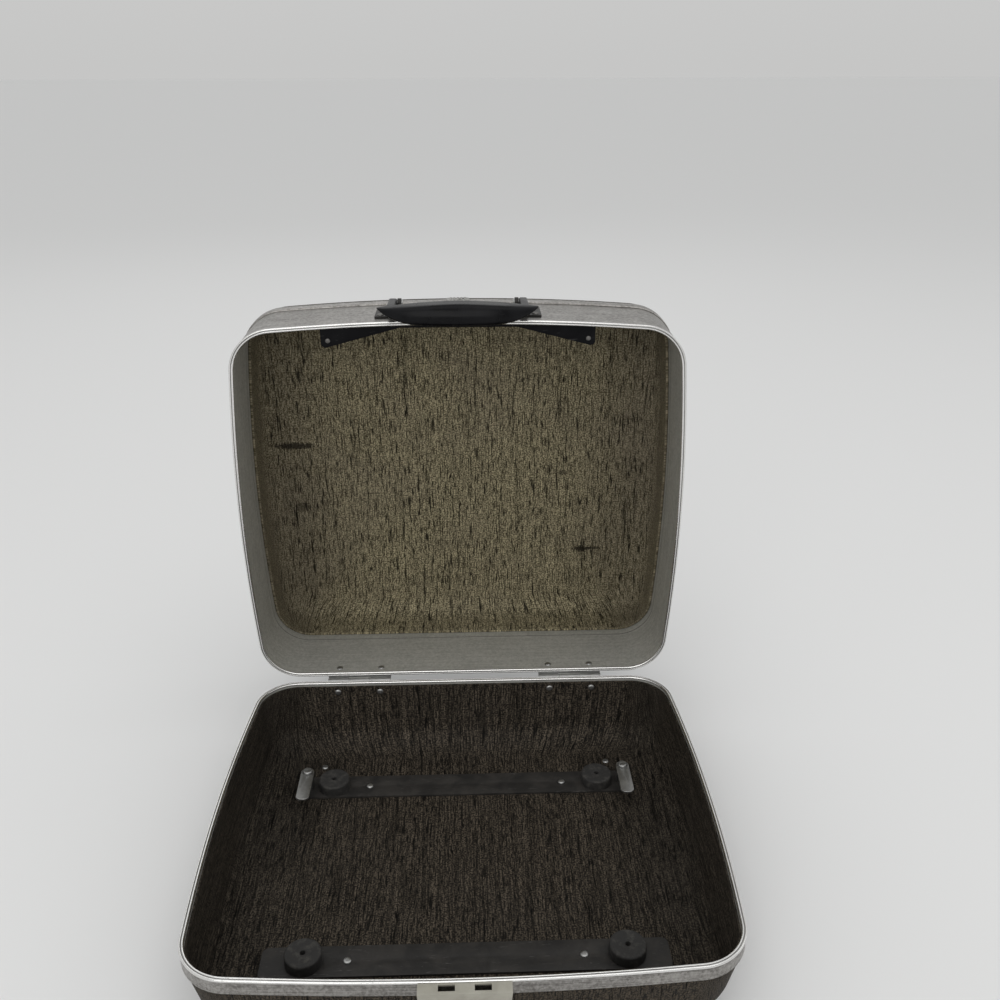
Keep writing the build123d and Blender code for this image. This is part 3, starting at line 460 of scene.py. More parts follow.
# pressed and plated steel, a little stained
steelLook = {
    "bright": (0.42, 0.42, 0.41), "dull": (0.33, 0.33, 0.325), "rust": (0.10, 0.07, 0.05),
    "grains": {
        "mottle": (420.0, 4.0, 0.68, 0.3), "cloud": (40.0, 3.0, 0.6, 0.4),
        "scratch": (1500.0, 2.0, 0.5, 0.0, 0.10, 1.0), "rust": (130.0, 6.0, 0.78, 0.0),
    },
    "levels": {"tone": (0.34, 0.66), "scratch": (0.58, 0.72), "rust": (0.68, 0.78)},
    "roughness": 0.30, "gloss": 0.5, "depth": 0.05 * mm, "bump": 0.5,
}
satinLook = dict(
    steelLook, bright=(0.36, 0.355, 0.34), dull=(0.22, 0.215, 0.20), rust=(0.06, 0.05, 0.04),
    roughness=0.34,
)
dullLook = dict(
    steelLook, bright=(0.20, 0.195, 0.185), dull=(0.12, 0.115, 0.11), rust=(0.05, 0.04, 0.03),
    roughness=0.42,
)


def platedSteel(name, look):
    f = Finish(name, look)
    place = f.place()
    mottle = f.grain("mottle", place)
    cloud = f.grain("cloud", place)
    scratches = f.shown("scratch", f.grain("scratch", place))
    rust = f.shown("rust", f.grain("rust", place))
    colour = f.mix(f.shown("tone", mottle * 0.6 + cloud * 0.4), look["dull"], look["bright"])
    colour = f.mix(rust * 0.5, colour, look["rust"])
    rough = look["roughness"] + mottle * 0.14 + cloud * 0.10 + rust * 0.3 - scratches * 0.06
    height = mottle * 0.4 + scratches * 0.35 - rust * 0.3
    return f.close(colour, rough, height, metallic=1.0 - rust * 0.5)


# paint over steel: orange peel, dust, hairlines, and bare metal where it has chipped
strikerLook = {
    "paint": (0.355, 0.342, 0.292), "faded": (0.28, 0.267, 0.225), "chips": (0.16, 0.14, 0.12),
    "grains": {
        "cloud": (60.0, 4.0, 0.6, 0.5), "dust": (1500.0, 4.0, 0.7, 0.0),
        "chip": (330.0, 5.0, 0.74, 0.0), "scratch": (900.0, 2.0, 0.6, 1.2, 0.1, 1.0),
        "peel": (420.0, 2.0, 0.5, 0.0),
    },
    "levels": {"cloud": (0.32, 0.70), "scratch": (0.66, 0.72)},
    "chipLevel": 0.70, "chipFade": 0.02, "roughness": 0.34, "gloss": 0.5, "depth": 0.07 * mm, "bump": 0.6,
}
blackLook = dict(
    strikerLook, paint=(0.0025, 0.0025, 0.003), faded=(0.005, 0.005, 0.006),
    chips=(0.20, 0.20, 0.19), chipLevel=0.745, roughness=0.26, gloss=0.08,
)
railLook = dict(
    strikerLook, paint=(0.020, 0.019, 0.018), faded=(0.036, 0.033, 0.030),
    chips=(0.22, 0.21, 0.20), chipLevel=0.74, roughness=0.42, gloss=0.25,
)


def enamel(name, look):
    f = Finish(name, look)
    place = f.place()
    cloud = f.shown("cloud", f.grain("cloud", place))
    dust = f.grain("dust", place)
    chip = f.step(f.grain("chip", place), look["chipLevel"], look["chipLevel"] + look["chipFade"])
    scratch = f.shown("scratch", f.grain("scratch", place))
    colour = f.mix(cloud, look["paint"], look["faded"])
    colour = f.mix(scratch * 0.22, colour, look["chips"])
    colour = f.mix(chip, colour, look["chips"])
    rough = look["roughness"] + cloud * 0.10 + dust * 0.10 + scratch * 0.12
    height = f.grain("peel", place) * 0.6 + dust * 0.12 - chip * 0.8 - scratch * 0.25
    return f.close(colour, rough, height, metallic=chip * 0.9)


# the grip's moulded plastic: cloudy, hairlined and a little dusty
gripLook = {
    "tint": (0.002, 0.002, 0.0025), "worn": (0.010, 0.010, 0.0115),
    "grains": {
        "cloud": (45.0, 4.0, 0.62, 0.6), "hair": (700.0, 2.0, 0.6, 1.5, 0.08, 1.0),
        "dust": (1300.0, 4.0, 0.72, 0.0), "dimple": (240.0, 2.0, 0.5, 0.0),
    },
    "levels": {"cloud": (0.35, 0.70), "hair": (0.62, 0.72), "dust": (0.60, 0.78)},
    "roughness": 0.24, "gloss": 0.12, "depth": 0.08 * mm, "bump": 0.5,
}


def mouldedPlastic(name, look):
    f = Finish(name, look)
    place = f.place()
    cloud = f.shown("cloud", f.grain("cloud", place))
    hair = f.shown("hair", f.grain("hair", place))
    dust = f.shown("dust", f.grain("dust", place))
    colour = f.mix(cloud * 0.5 + hair * 0.28 + dust * 0.25, look["tint"], look["worn"])
    rough = look["roughness"] + cloud * 0.12 + hair * 0.14 + dust * 0.15
    height = f.grain("dimple", place) * 0.5 - hair * 0.35 + dust * 0.1
    return f.close(colour, rough, height)


rubberLook = {
    "tint": (0.016, 0.015, 0.014), "dusty": (0.085, 0.08, 0.07),
    "grains": {"fine": (900.0, 4.0, 0.66, 0.0), "dust": (170.0, 5.0, 0.7, 0.0)},
    "levels": {"dust": (0.46, 0.72)},
    "roughness": 0.66, "gloss": 0.5, "depth": 0.1 * mm, "bump": 0.6,
}


def softRubber(name, look):
    f = Finish(name, look)
    place = f.place()
    fine = f.grain("fine", place)
    dust = f.shown("dust", f.grain("dust", place))
    colour = f.mix(dust * 0.5, look["tint"], look["dusty"])
    return f.close(colour, look["roughness"] + fine * 0.2 + dust * 0.1, fine)


steel = platedSteel("zincSteel", steelLook)
satinMetal = platedSteel("satinMetal", satinLook)
dullMetal = platedSteel("dullMetal", dullLook)
strikerPaint = enamel("strikerPaint", strikerLook)
blackPaint = enamel("blackPaint", blackLook)
railPaint = enamel("railPaint", railLook)
gripPlastic = mouldedPlastic("gripPlastic", gripLook)
rubber = softRubber("blackRubber", rubberLook)
# the tray's sheet carries painted shade in its darker colours
shadedTrayPlastic = grainedSheet("shadedTrayPlastic", shadedTrayGrain)
lidPlastic = grainedSheet("lidPlastic", lidGrain, lidScuffs)
print("finishes ready")


# a section's corners are (outwards, from the lip, rounding) in mm
def roundedSection(corners, turns=4):
    done = []
    count = len(corners)
    for k, (x, y, radius) in enumerate(corners):
        here = Vector((x, y))
        before, after = Vector(corners[k - 1][:2]), Vector(corners[(k + 1) % count][:2])
        toBefore, toAfter = (before - here).normalized(), (after - here).normalized()
        half = toBefore.angle(toAfter) / 2
        reach = radius / math.tan(half)
        centre = here + (toBefore + toAfter).normalized() * (radius / math.sin(half))
        start, end = here + toBefore * reach - centre, here + toAfter * reach - centre
        swing = math.atan2(start.x * end.y - start.y * end.x, start.dot(end))
        for step in range(turns + 1):
            done.append(centre + Matrix.Rotation(swing * step / turns, 2) @ start)
    return [point * mm for point in done]


# the rolled sections, in mm; each Round is the rounding of the edges it is named for
lipShape = {
    "thick": 3.6, "high": 3.6, "step": 1.5, "stepSlope": 0.25, "stepDirt": 0.3,
    "slotFrom": 1.35, "slotTo": 2.0, "slotDeep": 0.6, "slotSlope": 0.07, "slotRound": 0.35,
    "slotFloorRound": 0.06, "outerRound": 0.8, "innerRound": 0.95, "lowRound": 0.5, "wallRound": 0.3,
    "endRound": 0.2,
}
grooveShape = {"high": 0.8, "deep": 0.5, "edgeRound": 0.12, "floorRound": 0.1}
bandShape = {
    "setback": 0.4, "wall": 1.4, "high": 74.0, "beadHigh": 13.0, "beadProud": 0.8, "beadBackRound": 2.0,
    "beadFrontRound": 0.9,
}
rimShape = {"setback": 0.4, "wall": 1.2, "high": 11.7}
dentShape = {"deep": 0.3 * mm, "scale": 14.0}


def metalSection(s):
    lip, groove = lipShape, grooveShape
    near, far, thick = -lip["slotFrom"], -lip["slotTo"], -lip["thick"]
    face, inner = -s["setback"], -s["setback"] - s["wall"]
    corners = [
        (0, 0, lip["outerRound"]), (near, 0, lip["slotRound"]),
        (near - lip["slotSlope"], lip["slotDeep"], lip["slotFloorRound"]),
        (far + lip["slotSlope"], lip["slotDeep"], lip["slotFloorRound"]),
        (far, 0, lip["slotRound"]), (thick, 0, lip["innerRound"]), (thick, lip["high"], lip["lowRound"]),
        (inner, lip["high"], lip["wallRound"]), (inner, s["high"], lip["endRound"]),
    ]
    if "beadHigh" in s:
        bead, proud = s["high"] - s["beadHigh"], s["beadProud"]
        top, floor = bead - groove["high"], face - groove["deep"]
        corners += [
            (proud, s["high"], s["beadBackRound"]), (proud, bead, s["beadFrontRound"]),
            (floor, bead, groove["floorRound"]), (floor, top, groove["floorRound"]),
            (face, top, groove["edgeRound"]),
        ]
    else:
        corners += [(face, s["high"], lip["wallRound"])]
    step = lip["step"]
    corners += [(face, step + lip["stepSlope"], groove["edgeRound"]), (0, step, lip["wallRound"])]
    return roundedSection(corners)


def closedCurve(name, points):
    curve = bpy.data.curves.new(name, "CURVE")
    curve.dimensions = "3D"
    line = curve.splines.new("POLY")
    line.points.add(len(points) - 1)
    for place, point in zip(line.points, points):
        place.co = (point.x, point.y, 0, 1)
    line.use_cyclic_u = True
    return linked(name, curve)


# a section swept round the case's outline; Rising is -1 where the piece hangs down from its lip
def rollingRecipe():
    r = Recipe(
        "rolling", Outline="Object", Section="Object", Rising="Float", Dents="Float", DentScale="Float",
        Metal="Material",
    )
    curve = r.add("GeometryNodeSetCurveNormal", {"mode": "Z_UP"}, {"Curve": r.shape("Outline")})
    along = r.add("GeometryNodeSplineParameter", {}, {}, out="Length")
    curve = r.keep(curve, "along", "FLOAT", along)
    wave = r.add("ShaderNodeTexNoise", {}, {"Scale": r.given("DentScale"), "Detail": 2.0})
    way = r.add("GeometryNodeInputNormal", {}, {})
    push = (wave - 1.0) * r.given("Dents")
    push = r.add("ShaderNodeVectorMath", {"operation": "SCALE"}, {0: way, "Scale": push})
    curve = r.add("GeometryNodeSetPosition", {}, {"Geometry": curve, "Offset": push})
    place = r.add("GeometryNodeInputPosition", {}, {})
    section = r.keep(r.shape("Section"), "section", "FLOAT_VECTOR", place)
    flip = r.add("ShaderNodeCombineXYZ", {}, {0: 1.0, 1: r.given("Rising") * -1.0, 2: 1.0})
    section = r.add("GeometryNodeTransform", {}, {"Geometry": section, "Scale": flip})
    swept = r.add("GeometryNodeCurveToMesh", {}, {"Curve": curve, "Profile Curve": section})
    r.finishWith(swept, r.given("Metal"))
    return r


rolling = rollingRecipe()
outlineCurve = closedCurve("caseLine", [point for point, way in caseOutline(0, 0)])


def rolledPiece(name, shape, node, rising, grooves, place):
    sectionCurve = closedCurve(name + "Section", metalSection(shape))
    metal = rolledMetal(name + "Metal", rolledLook, grooves)
    mesh = rolling.made(
        name, bpy.data.meshes.new(name), Outline=outlineCurve, Section=sectionCurve,
        Rising=rising, Dents=dentShape["deep"], DentScale=dentShape["scale"], Metal=metal,
    )
    bpy.data.objects.remove(sectionCurve)
    outwardNormals(mesh)
    smoothed(mesh)
    finishPiece(name, mesh, [node], place=place)


beadFoot = bandShape["high"] - bandShape["beadHigh"]
lipGroove = (lipShape["step"], lipShape["step"] + lipShape["stepDirt"])
beadGroove = (beadFoot - grooveShape["high"], beadFoot)
rolledPiece("rimMetal", rimShape, "base_rim", -1.0, [lipGroove], toRim)
rolledPiece("bandMetal", bandShape, "lid_band", 1.0, [lipGroove, beadGroove], toLid)
bpy.data.objects.remove(outlineCurve)
print("rim and band rolled")

# moulded shells, in mm: the side's inset at its straight edge, wall, and the heights of the edge, of
# the straight part's end and of the floor; the taper in degrees
trayShape = {
    "inset": 1.75, "wall": 3.0, "edge": 64.35, "straight": 55.0, "floor": 4.5, "taper": 10.0, "bend": 26.0,
    "cornerShare": 0.4, "edgeRound": 0.7, "edgeShare": 0.3,
}
shellShape = dict(
    trayShape, inset=1.95, wall=2.4, edge=68.5, straight=74.0, floor=108.0, taper=2.0, bend=20.0,
)
ringSteps = {"bend": 8, "wall": 4, "floor": 5}


# rings of one skin from its edge to its floor's: inset, corner inset, height, way from the floor's edge
def skinRings(s, deeper):
    side = 1 if s["floor"] > s["edge"] else -1
    lean = math.radians(s["taper"])
    inset, bend = s["inset"] + deeper, s["bend"] - deeper
    floor = s["floor"] - side * deeper
    bendMiddle = floor - side * bend
    wallEnd = bendMiddle + side * bend * math.sin(lean)
    endInset = inset + abs(wallEnd - s["straight"]) * math.tan(lean)
    line = [(inset, s["edge"] + side * s["edgeRound"]), (inset, s["straight"])]
    for k in range(1, ringSteps["wall"]):
        share = k / ringSteps["wall"]
        height = s["straight"] + (wallEnd - s["straight"]) * share
        line.append((inset + (endInset - inset) * share, height))
    for k in range(ringSteps["bend"] + 1):
        angle = lean + (math.pi / 2 - lean) * k / ringSteps["bend"]
        across = endInset + bend * (math.cos(lean) - math.cos(angle))
        line.append((across, bendMiddle + side * bend * math.sin(angle)))
    rings, run, last = [], 0.0, line[-1]
    for across, height in reversed(line):
        run += math.dist((across, height), last)
        last = across, height
        rings.append((across, inset + s["cornerShare"] * (across - inset), height, run))
    return rings[::-1]


def edgeRings(s):
    side = 1 if s["floor"] > s["edge"] else -1
    outer, inner, r = s["inset"], s["inset"] + s["wall"], s["edgeRound"]
    near = r * s["edgeShare"]
    steps = [(outer + near, near), (outer + r, 0), (inner - r, 0), (inner - near, near)]
    return [(across, across, s["edge"] + side * down) for across, down in steps]


# a closed shell with its sheet laid flat as UVs, and its outer skin marked
def mouldedShell(name, s):
    outer, inner = skinRings(s, 0.0), skinRings(s, s["wall"])
    topRun = outer[0][3]
    shares = [k / ringSteps["floor"] for k in range(ringSteps["floor"])]
    order = [outer[-1] + (share,) for share in shares]
    order += [ring + (1.0,) for ring in reversed(outer)]
    outerCount = len(order)
    order += [ring + (topRun, 1.0) for ring in edgeRings(s)]
    order += [ring + (1.0,) for ring in inner]
    order += [inner[-1] + (share,) for share in reversed(shares)]
    bm = bmesh.new()
    sheet = bm.loops.layers.uv.new("sheet")
    outside = bm.verts.layers.float.new("outside")
    floorLine = caseOutline(outer[-1][0] * mm, outer[-1][1] * mm)
    spots, rows = {}, []
    for level, (inset, cornerInset, height, run, share) in enumerate(order):
        mark = 1.0 if level < outerCount else 0.0
        if share == 0:
            middle = bm.verts.new((0, 0, height * mm))
            middle[outside] = mark
            spots[middle] = (0, 0)
            rows.append([middle])
            continue
        row = []
        for (point, way), (floorPoint, floorWay) in zip(caseOutline(inset * mm, cornerInset * mm), floorLine):
            vert = bm.verts.new((point.x * share, point.y * share, height * mm))
            vert[outside] = mark
            spots[vert] = tuple(floorPoint[i] * share + floorWay[i] * run * mm for i in (0, 1))
            row.append(vert)
        rows.append(row)
    for one, two in zip(rows, rows[1:]):
        joinRings(bm, one, two)
    bmesh.ops.recalc_face_normals(bm, faces=bm.faces)
    for face in bm.faces:
        for loop in face.loops:
            loop[sheet].uv = spots[loop.vert]
    mesh = bpy.data.meshes.new(name)
    bm.to_mesh(mesh)
    bm.free()
    smoothed(mesh)
    return mesh


# the screw holes through the tray's floor, placed under the seats
holeShape = {"radius": 1.9 * mm, "from": 2 * mm, "to": 12 * mm}


def addTrayHoles(bm):
    s = holeShape
    for seat in ("seat_front_left", "seat_front_right", "seat_back_left", "seat_back_right"):
        low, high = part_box(seat)
        middle = (low + high) / 2
        middle.z = (s["from"] + s["to"]) / 2
        addBore(bm, s["radius"], s["to"] - s["from"], Matrix.Translation(middle))


def drilledTray():
    mesh = mouldedShell("trayMesh", trayShape)
    mesh.transform(toBase)
    tray = linked("drilledTray", mesh)
    holes = linked("trayHoles", meshFrom("trayHoles", addTrayHoles))
    cutOut(tray, holes)
    mesh = evaluatedMesh(tray)
    bpy.data.objects.remove(holes)
    smoothed(mesh)
    return mesh


finishPiece("trayMoulding", drilledTray(), ["base_tray"], shadedTrayPlastic)
finishPiece("lidMoulding", mouldedShell("lidMesh", shellShape), ["lid_shell"], lidPlastic, toLid)
print("shells moulded")

# how a node's loose triangles are made whole, and how its edges are broken; angles in degrees
dressing = {"merge": 0.01 * mm, "flat": 1.0, "sharp": 40, "segments": 3}


# a node's mesh with its doubles merged and its flat faces made whole
def wholeMesh(node):
    bm = bmesh.new()
    bm.from_mesh(nodes[node].data)
    bmesh.ops.remove_doubles(bm, verts=bm.verts, dist=dressing["merge"])
    flat = math.radians(dressing["flat"])
    bmesh.ops.dissolve_limit(bm, angle_limit=flat, verts=bm.verts, edges=bm.edges)
    return bm


# the striker's top, in mm: where its slots and its front plate stand out from the case and how far
# each moves in, where its top starts below the rim's, and how far that rises
strikerTop = {"slots": (1.5, 7.3, 0.95), "plate": (7.3, 12.0, 1.35), "topFrom": 3.6, "rise": 1.1}


def strikerSpot(spot):
    s = strikerTop
    out = (rimLow.y - spot.y) / mm
    for start, end, inwards in (s["slots"], s["plate"]):
        if start < out <= end:
            spot.y += inwards * mm
    if spot.z > rimHigh.z - s["topFrom"] * mm:
        spot.z += s["rise"] * mm


# a node's own shape with broken edges, so that its rims catch the light; moveSpot shifts its corners first
def softened(node, rounding, material, moveSpot=None):
    bm = wholeMesh(node)
    if moveSpot:
        for vert in bm.verts:
            moveSpot(vert.co)
    mesh = bpy.data.meshes.new(node + "Soft")
    bm.verts.index_update()
    mesh.from_pydata([v.co for v in bm.verts], [], [[v.index for v in face.verts] for face in bm.faces])
    bm.free()
    piece = linked(node + "Soft", mesh)
    bevel = piece.modifiers.new("edges", "BEVEL")
    bevel.width, bevel.segments, bevel.limit_method = rounding * mm, dressing["segments"], "ANGLE"
    bevel.angle_limit = math.radians(dressing["sharp"])
    mesh = evaluatedMesh(piece)
    smoothed(mesh, dressing["sharp"])
    finishPiece(node + "_finished", mesh, [node], material)


# rounding of each node's edges in mm, and its finish
edgeRounding = {
    "front_rail": (0.3, railPaint), "back_rail": (0.3, railPaint),
    "clip_posts": (0.3, steel), "clip_screws": (0.12, steel),
    "hold_down_clip_left": (0.3, steel), "hold_down_clip_right": (0.3, steel),
    "latch_plate": (0.2, steel), "latch_bar": (0.25, steel), "latch_thumb": (0.25, satinMetal),
    "latch_cover": (0.3, satinMetal), "backing_plate": (0.3, blackPaint),
}
for side in ("left", "right"):
    for part in ("hinge_base_leaf_", "hinge_lid_leaf_", "hinge_pin_"):
        edgeRounding[part + side] = (0.2, steel)
    edgeRounding["handle_pin_" + side] = (0.3, steel)
    # the brackets take the dark rail enamel: partly their own dark finish, partly a painted shadow under the
    # grip's tips
    edgeRounding["handle_bracket_" + side] = (0.25, railPaint)
    for part in ("seat_front_", "foot_front_", "seat_back_", "foot_back_"):
        edgeRounding[part + side] = (0.4, rubber)
softened("striker_bracket", 0.45, strikerPaint, strikerSpot)
for node, (rounding, material) in edgeRounding.items():
    softened(node, rounding, material)
print("hardware dressed")


# the grip, in mm: half its length, how far out its crown, tips and foot are, and from the lip its front
# and back; its arms, their bosses and pin holes, and the hollow in its back (half length, how far out,
# front, rounding) with the far corner of what is cut away
gripShape = {
    "half": 62.8, "crown": 17.5, "tip": 12.4, "foot": 0.5, "footCurve": 4.4, "front": -27.0, "back": -5.0,
    "sweep": 14.0, "sweepFrom": 0.30, "sweepCurve": 2.2, "endFrom": 0.84, "boxy": 5.0, "soft": 2.2,
    "softCurve": 1.5, "ridge": 1.6, "steps": 72, "turns": 56,
    "hollow": (33.0, 13.6, -23.6, 4.0), "hollowEnd": (-9.0, 12.0), "hollowTurns": 5,
    "armFrom": 49.0, "armTo": 55.5, "armRoot": (-12.0, 6.4, 12.0), "pivot": (33.0, 6.2), "boss": 4.0,
    "bossTurns": 24, "pinHole": 2.05, "pinHoleLong": 9.0,
    "voxel": 0.62, "coarser": 1.3, "softness": 0.5, "softSteps": 8,
}


# one section across the grip; t runs from -1 at the left tip to 1 at the right one
def gripSection(t):
    s = gripShape
    u = abs(t)
    top = s["tip"] + (s["crown"] - s["tip"]) * (1 - u * u)
    low = s["foot"] + (s["tip"] - s["foot"]) * u ** s["footCurve"]
    swept = max(0.0, (u - s["sweepFrom"]) / (1 - s["sweepFrom"]))
    front = s["front"] + s["sweep"] * swept ** s["sweepCurve"]
    ending = max(0.0, (u - s["endFrom"]) / (1 - s["endFrom"]))
    half = (s["back"] - front) / 2 * math.sqrt(1 - ending * ending)
    middle, centre, high = (front + s["back"]) / 2, (top + low) / 2, (top - low) / 2
    power = 2 / (s["boxy"] + (s["soft"] - s["boxy"]) * u ** s["softCurve"])
    points = []
    for k in range(s["turns"]):
        turn = 2 * math.pi * k / s["turns"]
        c, d = math.cos(turn), math.sin(turn)
        back = math.copysign(abs(c) ** power, c)
        up = math.copysign(abs(d) ** power, d)
        along = middle + half * back + 2 * s["ridge"] * max(0.0, up) * max(0.0, -back) * (1 - u)
        points.append((t * s["half"], centre + high * up, along))
    return points


# a point of the handle's own frame (across, out of the lid's front, from the lip) in metres
def handleSpot(across, out, fromLip):
    return Vector((across * mm, -caseShape["depth"] / 2 - out * mm, fromLip * mm))


def addGrip(bm):
    s = gripShape
    rows = []
    for step in range(1, s["steps"]):
        t = math.sin(math.pi / 2 * (2 * step / s["steps"] - 1))
        rows.append([bm.verts.new(handleSpot(*point)) for point in gripSection(t)])
    for one, two in zip(rows, rows[1:]):
        joinRings(bm, one, two)
    for side, row in ((-1, rows[0]), (1, rows[-1])):
        tip = handleSpot(side * s["half"], s["tip"], (s["front"] + s["sweep"] + s["back"]) / 2)
        joinRings(bm, row, [bm.verts.new(tip)])


def addArm(bm, side):
    s = gripShape
    root, low, high = s["armRoot"]
    fromLip, out = s["pivot"]
    outline = [(low, root), (high, root)]
    for k in range(s["bossTurns"]):
        turn = 2 * math.pi * k / s["bossTurns"]
        outline.append((out + s["boss"] * math.sin(turn), fromLip + s["boss"] * math.cos(turn)))
    spots = [handleSpot(side * x, y, z) for x in (s["armFrom"], s["armTo"]) for y, z in outline]
    bmesh.ops.convex_hull(bm, input=[bm.verts.new(spot) for spot in spots])


def addHollow(bm):
    half, out, front, rounding = gripShape["hollow"]
    made = bmesh.ops.create_cube(bm, size=1.0)
    low, high = handleSpot(-half, out, front), handleSpot(half, *gripShape["hollowEnd"])
    for vert in made["verts"]:
        vert.co = Vector([low[k] if vert.co[k] < 0 else high[k] for k in range(3)])
    bmesh.ops.bevel(
        bm, geom=list(bm.edges), offset=rounding * mm, segments=gripShape["hollowTurns"], profile=0.5,
        affect="EDGES",
    )


def addPinHoles(bm):
    s = gripShape
    fromLip, out = s["pivot"]
    for side in (-1, 1):
        middle = handleSpot(side * (s["armFrom"] + s["armTo"]) / 2, out, fromLip)
        across = Matrix.Translation(middle) @ Matrix.Rotation(math.pi / 2, 4, "Y")
        addBore(bm, s["pinHole"] * mm, s["pinHoleLong"] * mm, across)


def addHandle(bm):
    addGrip(bm)
    addArm(bm, -1)
    addArm(bm, 1)


def wholeSkin(piece, voxel):
    skin = piece.modifiers.new("skin", "REMESH")
    skin.mode, skin.voxel_size = "VOXEL", voxel * mm


def foldingHandle():
    s = gripShape
    piece = linked("gripBody", meshFrom("gripBody", addHandle))
    hollow = linked("gripHollow", meshFrom("gripHollow", addHollow))
    pinHoles = linked("pinHoles", meshFrom("pinHoles", addPinHoles))
    wholeSkin(piece, s["voxel"] * s["coarser"])
    cutOut(piece, hollow)
    wholeSkin(piece, s["voxel"])
    soft = piece.modifiers.new("soft", "SMOOTH")
    soft.factor, soft.iterations = s["softness"], s["softSteps"]
    cutOut(piece, pinHoles)
    mesh = evaluatedMesh(piece)
    for helper in (hollow, pinHoles):
        bpy.data.objects.remove(helper)
    smoothed(mesh)
    finishPiece("foldingHandle", mesh, ["handle"], gripPlastic, toLid)
    print("handle moulded:", len(mesh.polygons), "faces")


foldingHandle()


# both ends of each rivet of a node: its tip, the way out of the work, and its head's radius
def rivetEnds(node):
    bm = wholeMesh(node)
    left, ends = set(bm.verts), []
    while left:
        island, waiting = set(), [left.pop()]
        while waiting:
            vert = waiting.pop()
            island.add(vert)
            for edge in vert.link_edges:
                near = edge.other_vert(vert)
                if near in left:
                    left.discard(near)
                    waiting.append(near)
        faces = {face for vert in island for face in vert.link_faces}
        way = max(faces, key=lambda face: face.calc_area()).normal.normalized()
        spots = [vert.co for vert in island]
        middle = sum(spots, Vector()) / len(spots)
        reach = [(spot - middle).dot(way) for spot in spots]
        radius = max(((spot - middle) - (spot - middle).dot(way) * way).length for spot in spots)
        ends.append((middle + way * max(reach), way.copy(), radius))
        ends.append((middle + way * min(reach), -way, radius))
    bm.free()
    return ends


# a domed head of unit radius, with a seat in metres that sinks it into the work
headShape = {
    "height": 0.38, "flat": 0.34, "edge": 0.03, "dimple": 0.03, "sides": 28, "rings": 5, "sunk": 0.06,
    "seat": 1.1 * mm,
}


def addRivetHead(bm):
    s = headShape
    line = [(1.0, -s["sunk"]), (1.0, s["edge"])]
    for k in range(1, s["rings"] + 1):
        turn = math.pi / 2 * k / s["rings"]
        radius = s["flat"] + (1 - s["flat"]) * math.cos(turn)
        line.append((radius, s["edge"] + (s["height"] - s["edge"]) * math.sin(turn)))
    turns = [2 * math.pi * k / s["sides"] for k in range(s["sides"])]
    rows = [[bm.verts.new((0, 0, -s["sunk"]))]]
    for radius, height in line:
        rows.append([bm.verts.new((radius * math.cos(t), radius * math.sin(t), height)) for t in turns])
    rows.append([bm.verts.new((0, 0, s["height"] - s["dimple"]))])
    for one, two in zip(rows, rows[1:]):
        joinRings(bm, one, two)


def rivetRecipe():
    r = Recipe("riveting", Head="Object", Seed="Int", Metal="Material")
    way = r.add("GeometryNodeInputNamedAttribute", {"data_type": "FLOAT_VECTOR"}, {"Name": "way"})
    size = r.add("GeometryNodeInputNamedAttribute", {"data_type": "FLOAT"}, {"Name": "size"})
    upright = r.add("FunctionNodeAlignRotationToVector", {"axis": "Z"}, {"Vector": way})
    spin = r.add("FunctionNodeRandomValue", {"data_type": "FLOAT"}, {"Seed": r.given("Seed")}, out=1)
    spin.socket.node.inputs[3].default_value = 2 * math.pi
    turn = r.add("FunctionNodeAxisAngleToRotation", {}, {"Axis": (0, 0, 1), "Angle": spin})
    turned = {"Rotation": upright, "Rotate By": turn}
    stance = r.add("FunctionNodeRotateRotation", {"rotation_space": "LOCAL"}, turned)
    placed = r.add("GeometryNodeInstanceOnPoints", {}, {
        "Points": r.given("Geometry"), "Instance": r.shape("Head"), "Rotation": stance, "Scale": size,
    })
    r.finishWith(placed, r.given("Metal"))
    return r


riveting = rivetRecipe()
head = linked("rivetHead", meshFrom("rivetHead", addRivetHead))


def rivets(name, rivetNodes, seed, metal):
    ends = [end for node in rivetNodes for end in rivetEnds(node)]
    mesh = bpy.data.meshes.new(name)
    mesh.from_pydata([tip - way * headShape["seat"] for tip, way, radius in ends], [], [])
    ways = mesh.attributes.new("way", "FLOAT_VECTOR", "POINT")
    ways.data.foreach_set("vector", [value for tip, way, radius in ends for value in way])
    sizes = mesh.attributes.new("size", "FLOAT", "POINT")
    sizes.data.foreach_set("value", [radius for tip, way, radius in ends])
    mesh = riveting.made(name, mesh, Head=head, Seed=seed, Metal=metal)
    smoothed(mesh, 35)
    finishPiece(name, mesh, rivetNodes)
    print(name, len(ends), "heads")


rivets("baseRivets", ["striker_rivets", "rail_rivets", "foot_rivets", "hinge_base_rivets"], 3, steel)
rivets("lidRivets", ["latch_rivets", "hinge_lid_rivets"], 8, steel)
rivets("darkRivets", ["backing_rivets", "bracket_rivets"], 5, dullMetal)
bpy.data.objects.remove(head)

# a pale floor and soft studio light
floorLook = {"half": 40.0, "tint": (0.74, 0.74, 0.74), "roughness": 0.75, "gloss": 0.5}


def paleFloor():
    half = floorLook["half"]
    mesh = bpy.data.meshes.new("floor")
    corners = [(-half, -half, 0), (half, -half, 0), (half, half, 0), (-half, half, 0)]
    mesh.from_pydata(corners, [], [(0, 1, 2, 3)])
    f = Finish("paleFloor", floorLook)
    f.feed(f.shader.inputs["Base Color"], floorLook["tint"])
    f.feed(f.shader.inputs["Roughness"], floorLook["roughness"])
    mesh.materials.append(f.material)
    linked("floor", mesh)


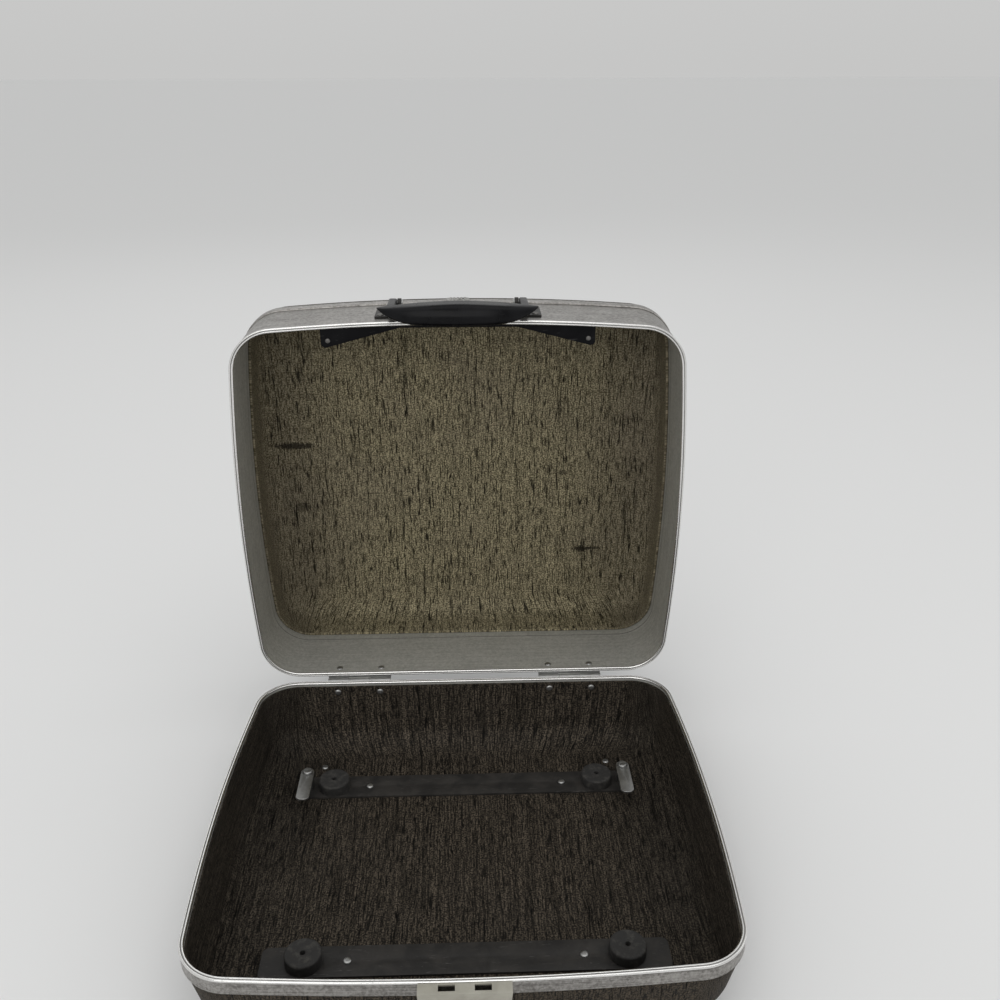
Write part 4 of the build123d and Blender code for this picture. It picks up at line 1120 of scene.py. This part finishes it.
# each lamp: where it hangs, its width and height in metres, its watts and tint; all point at lampTarget
lampTarget = (0, 0.1, 0.2)
lamps = {
    "top": ((0.1, -0.5, 2.2), 2.2, 1.6, 9, (1.0, 1.0, 1.0)),
    "front": ((-0.5, -2.4, 1.3), 2.0, 1.4, 15, (1.0, 0.995, 0.98)),
    "side": ((2.4, 0.4, 1.5), 1.6, 1.2, 3, (0.98, 0.99, 1.0)),
    "behind": ((-0.4, 2.2, 1.8), 1.8, 1.2, 4, (1.0, 1.0, 1.0)),
}
# light from all round, paler overhead than at the horizon
airLook = {"horizon": (0.565, 0.565, 0.56), "overhead": (0.80, 0.805, 0.80)}


def studioLight():
    for name, (spot, width, height, watts, tint) in lamps.items():
        lamp = bpy.data.lights.new(name, "AREA")
        lamp.shape, lamp.size, lamp.size_y = "RECTANGLE", width, height
        lamp.energy, lamp.color = watts, tint
        placed = linked(name, lamp)
        placed.location = spot
        placed.rotation_euler = (Vector(lampTarget) - Vector(spot)).to_track_quat("-Z", "Y").to_euler()
    world = bpy.data.worlds.new("studio")
    world.use_nodes = True
    air = NodeTree()
    air.tree = world.node_tree
    way = air.add("ShaderNodeTexCoord", {}, {}, out="Generated")
    height = air.add("ShaderNodeSeparateXYZ", {}, {0: way}, out=2)
    height = air.add("ShaderNodeMapRange", {}, {"Value": height, "From Min": 0.0, "From Max": 1.0})
    shades = {0: height, 6: airLook["horizon"], 7: airLook["overhead"]}
    tint = air.add("ShaderNodeMix", {"data_type": "RGBA"}, shades, out=2)
    air.feed(world.node_tree.nodes["Background"].inputs["Color"], tint)
    bpy.context.scene.world = world
    bpy.context.scene.view_settings.view_transform = "Standard"


# the photograph's viewpoint: place in metres, angles in degrees, lens and sensor in mm
viewpoint = {
    "place": (0.00828, -0.65186, 0.57699), "down": 23.671, "towardsRight": 1.789, "roll": -0.134,
    "lens": 36.0, "sensor": 36.0, "near": 0.01,
}


def photoCamera():
    down, aside, roll = (math.radians(viewpoint[key]) for key in ("down", "towardsRight", "roll"))
    forward = Vector((math.sin(aside) * math.cos(down), math.cos(aside) * math.cos(down), -math.sin(down)))
    right = Vector((math.cos(aside), -math.sin(aside), 0))
    up = right.cross(forward)
    right, up = math.cos(roll) * right + math.sin(roll) * up, math.cos(roll) * up - math.sin(roll) * right
    lens = bpy.data.cameras.new("camera")
    lens.lens, lens.sensor_width, lens.sensor_fit = viewpoint["lens"], viewpoint["sensor"], "HORIZONTAL"
    lens.clip_start = viewpoint["near"]
    camera = linked("camera", lens)
    facing = Matrix((right, up, -forward)).transposed().to_4x4()
    camera.matrix_world = Matrix.Translation(viewpoint["place"]) @ facing
    bpy.context.scene.camera = camera


paleFloor()
studioLight()
photoCamera()
print("stage set")
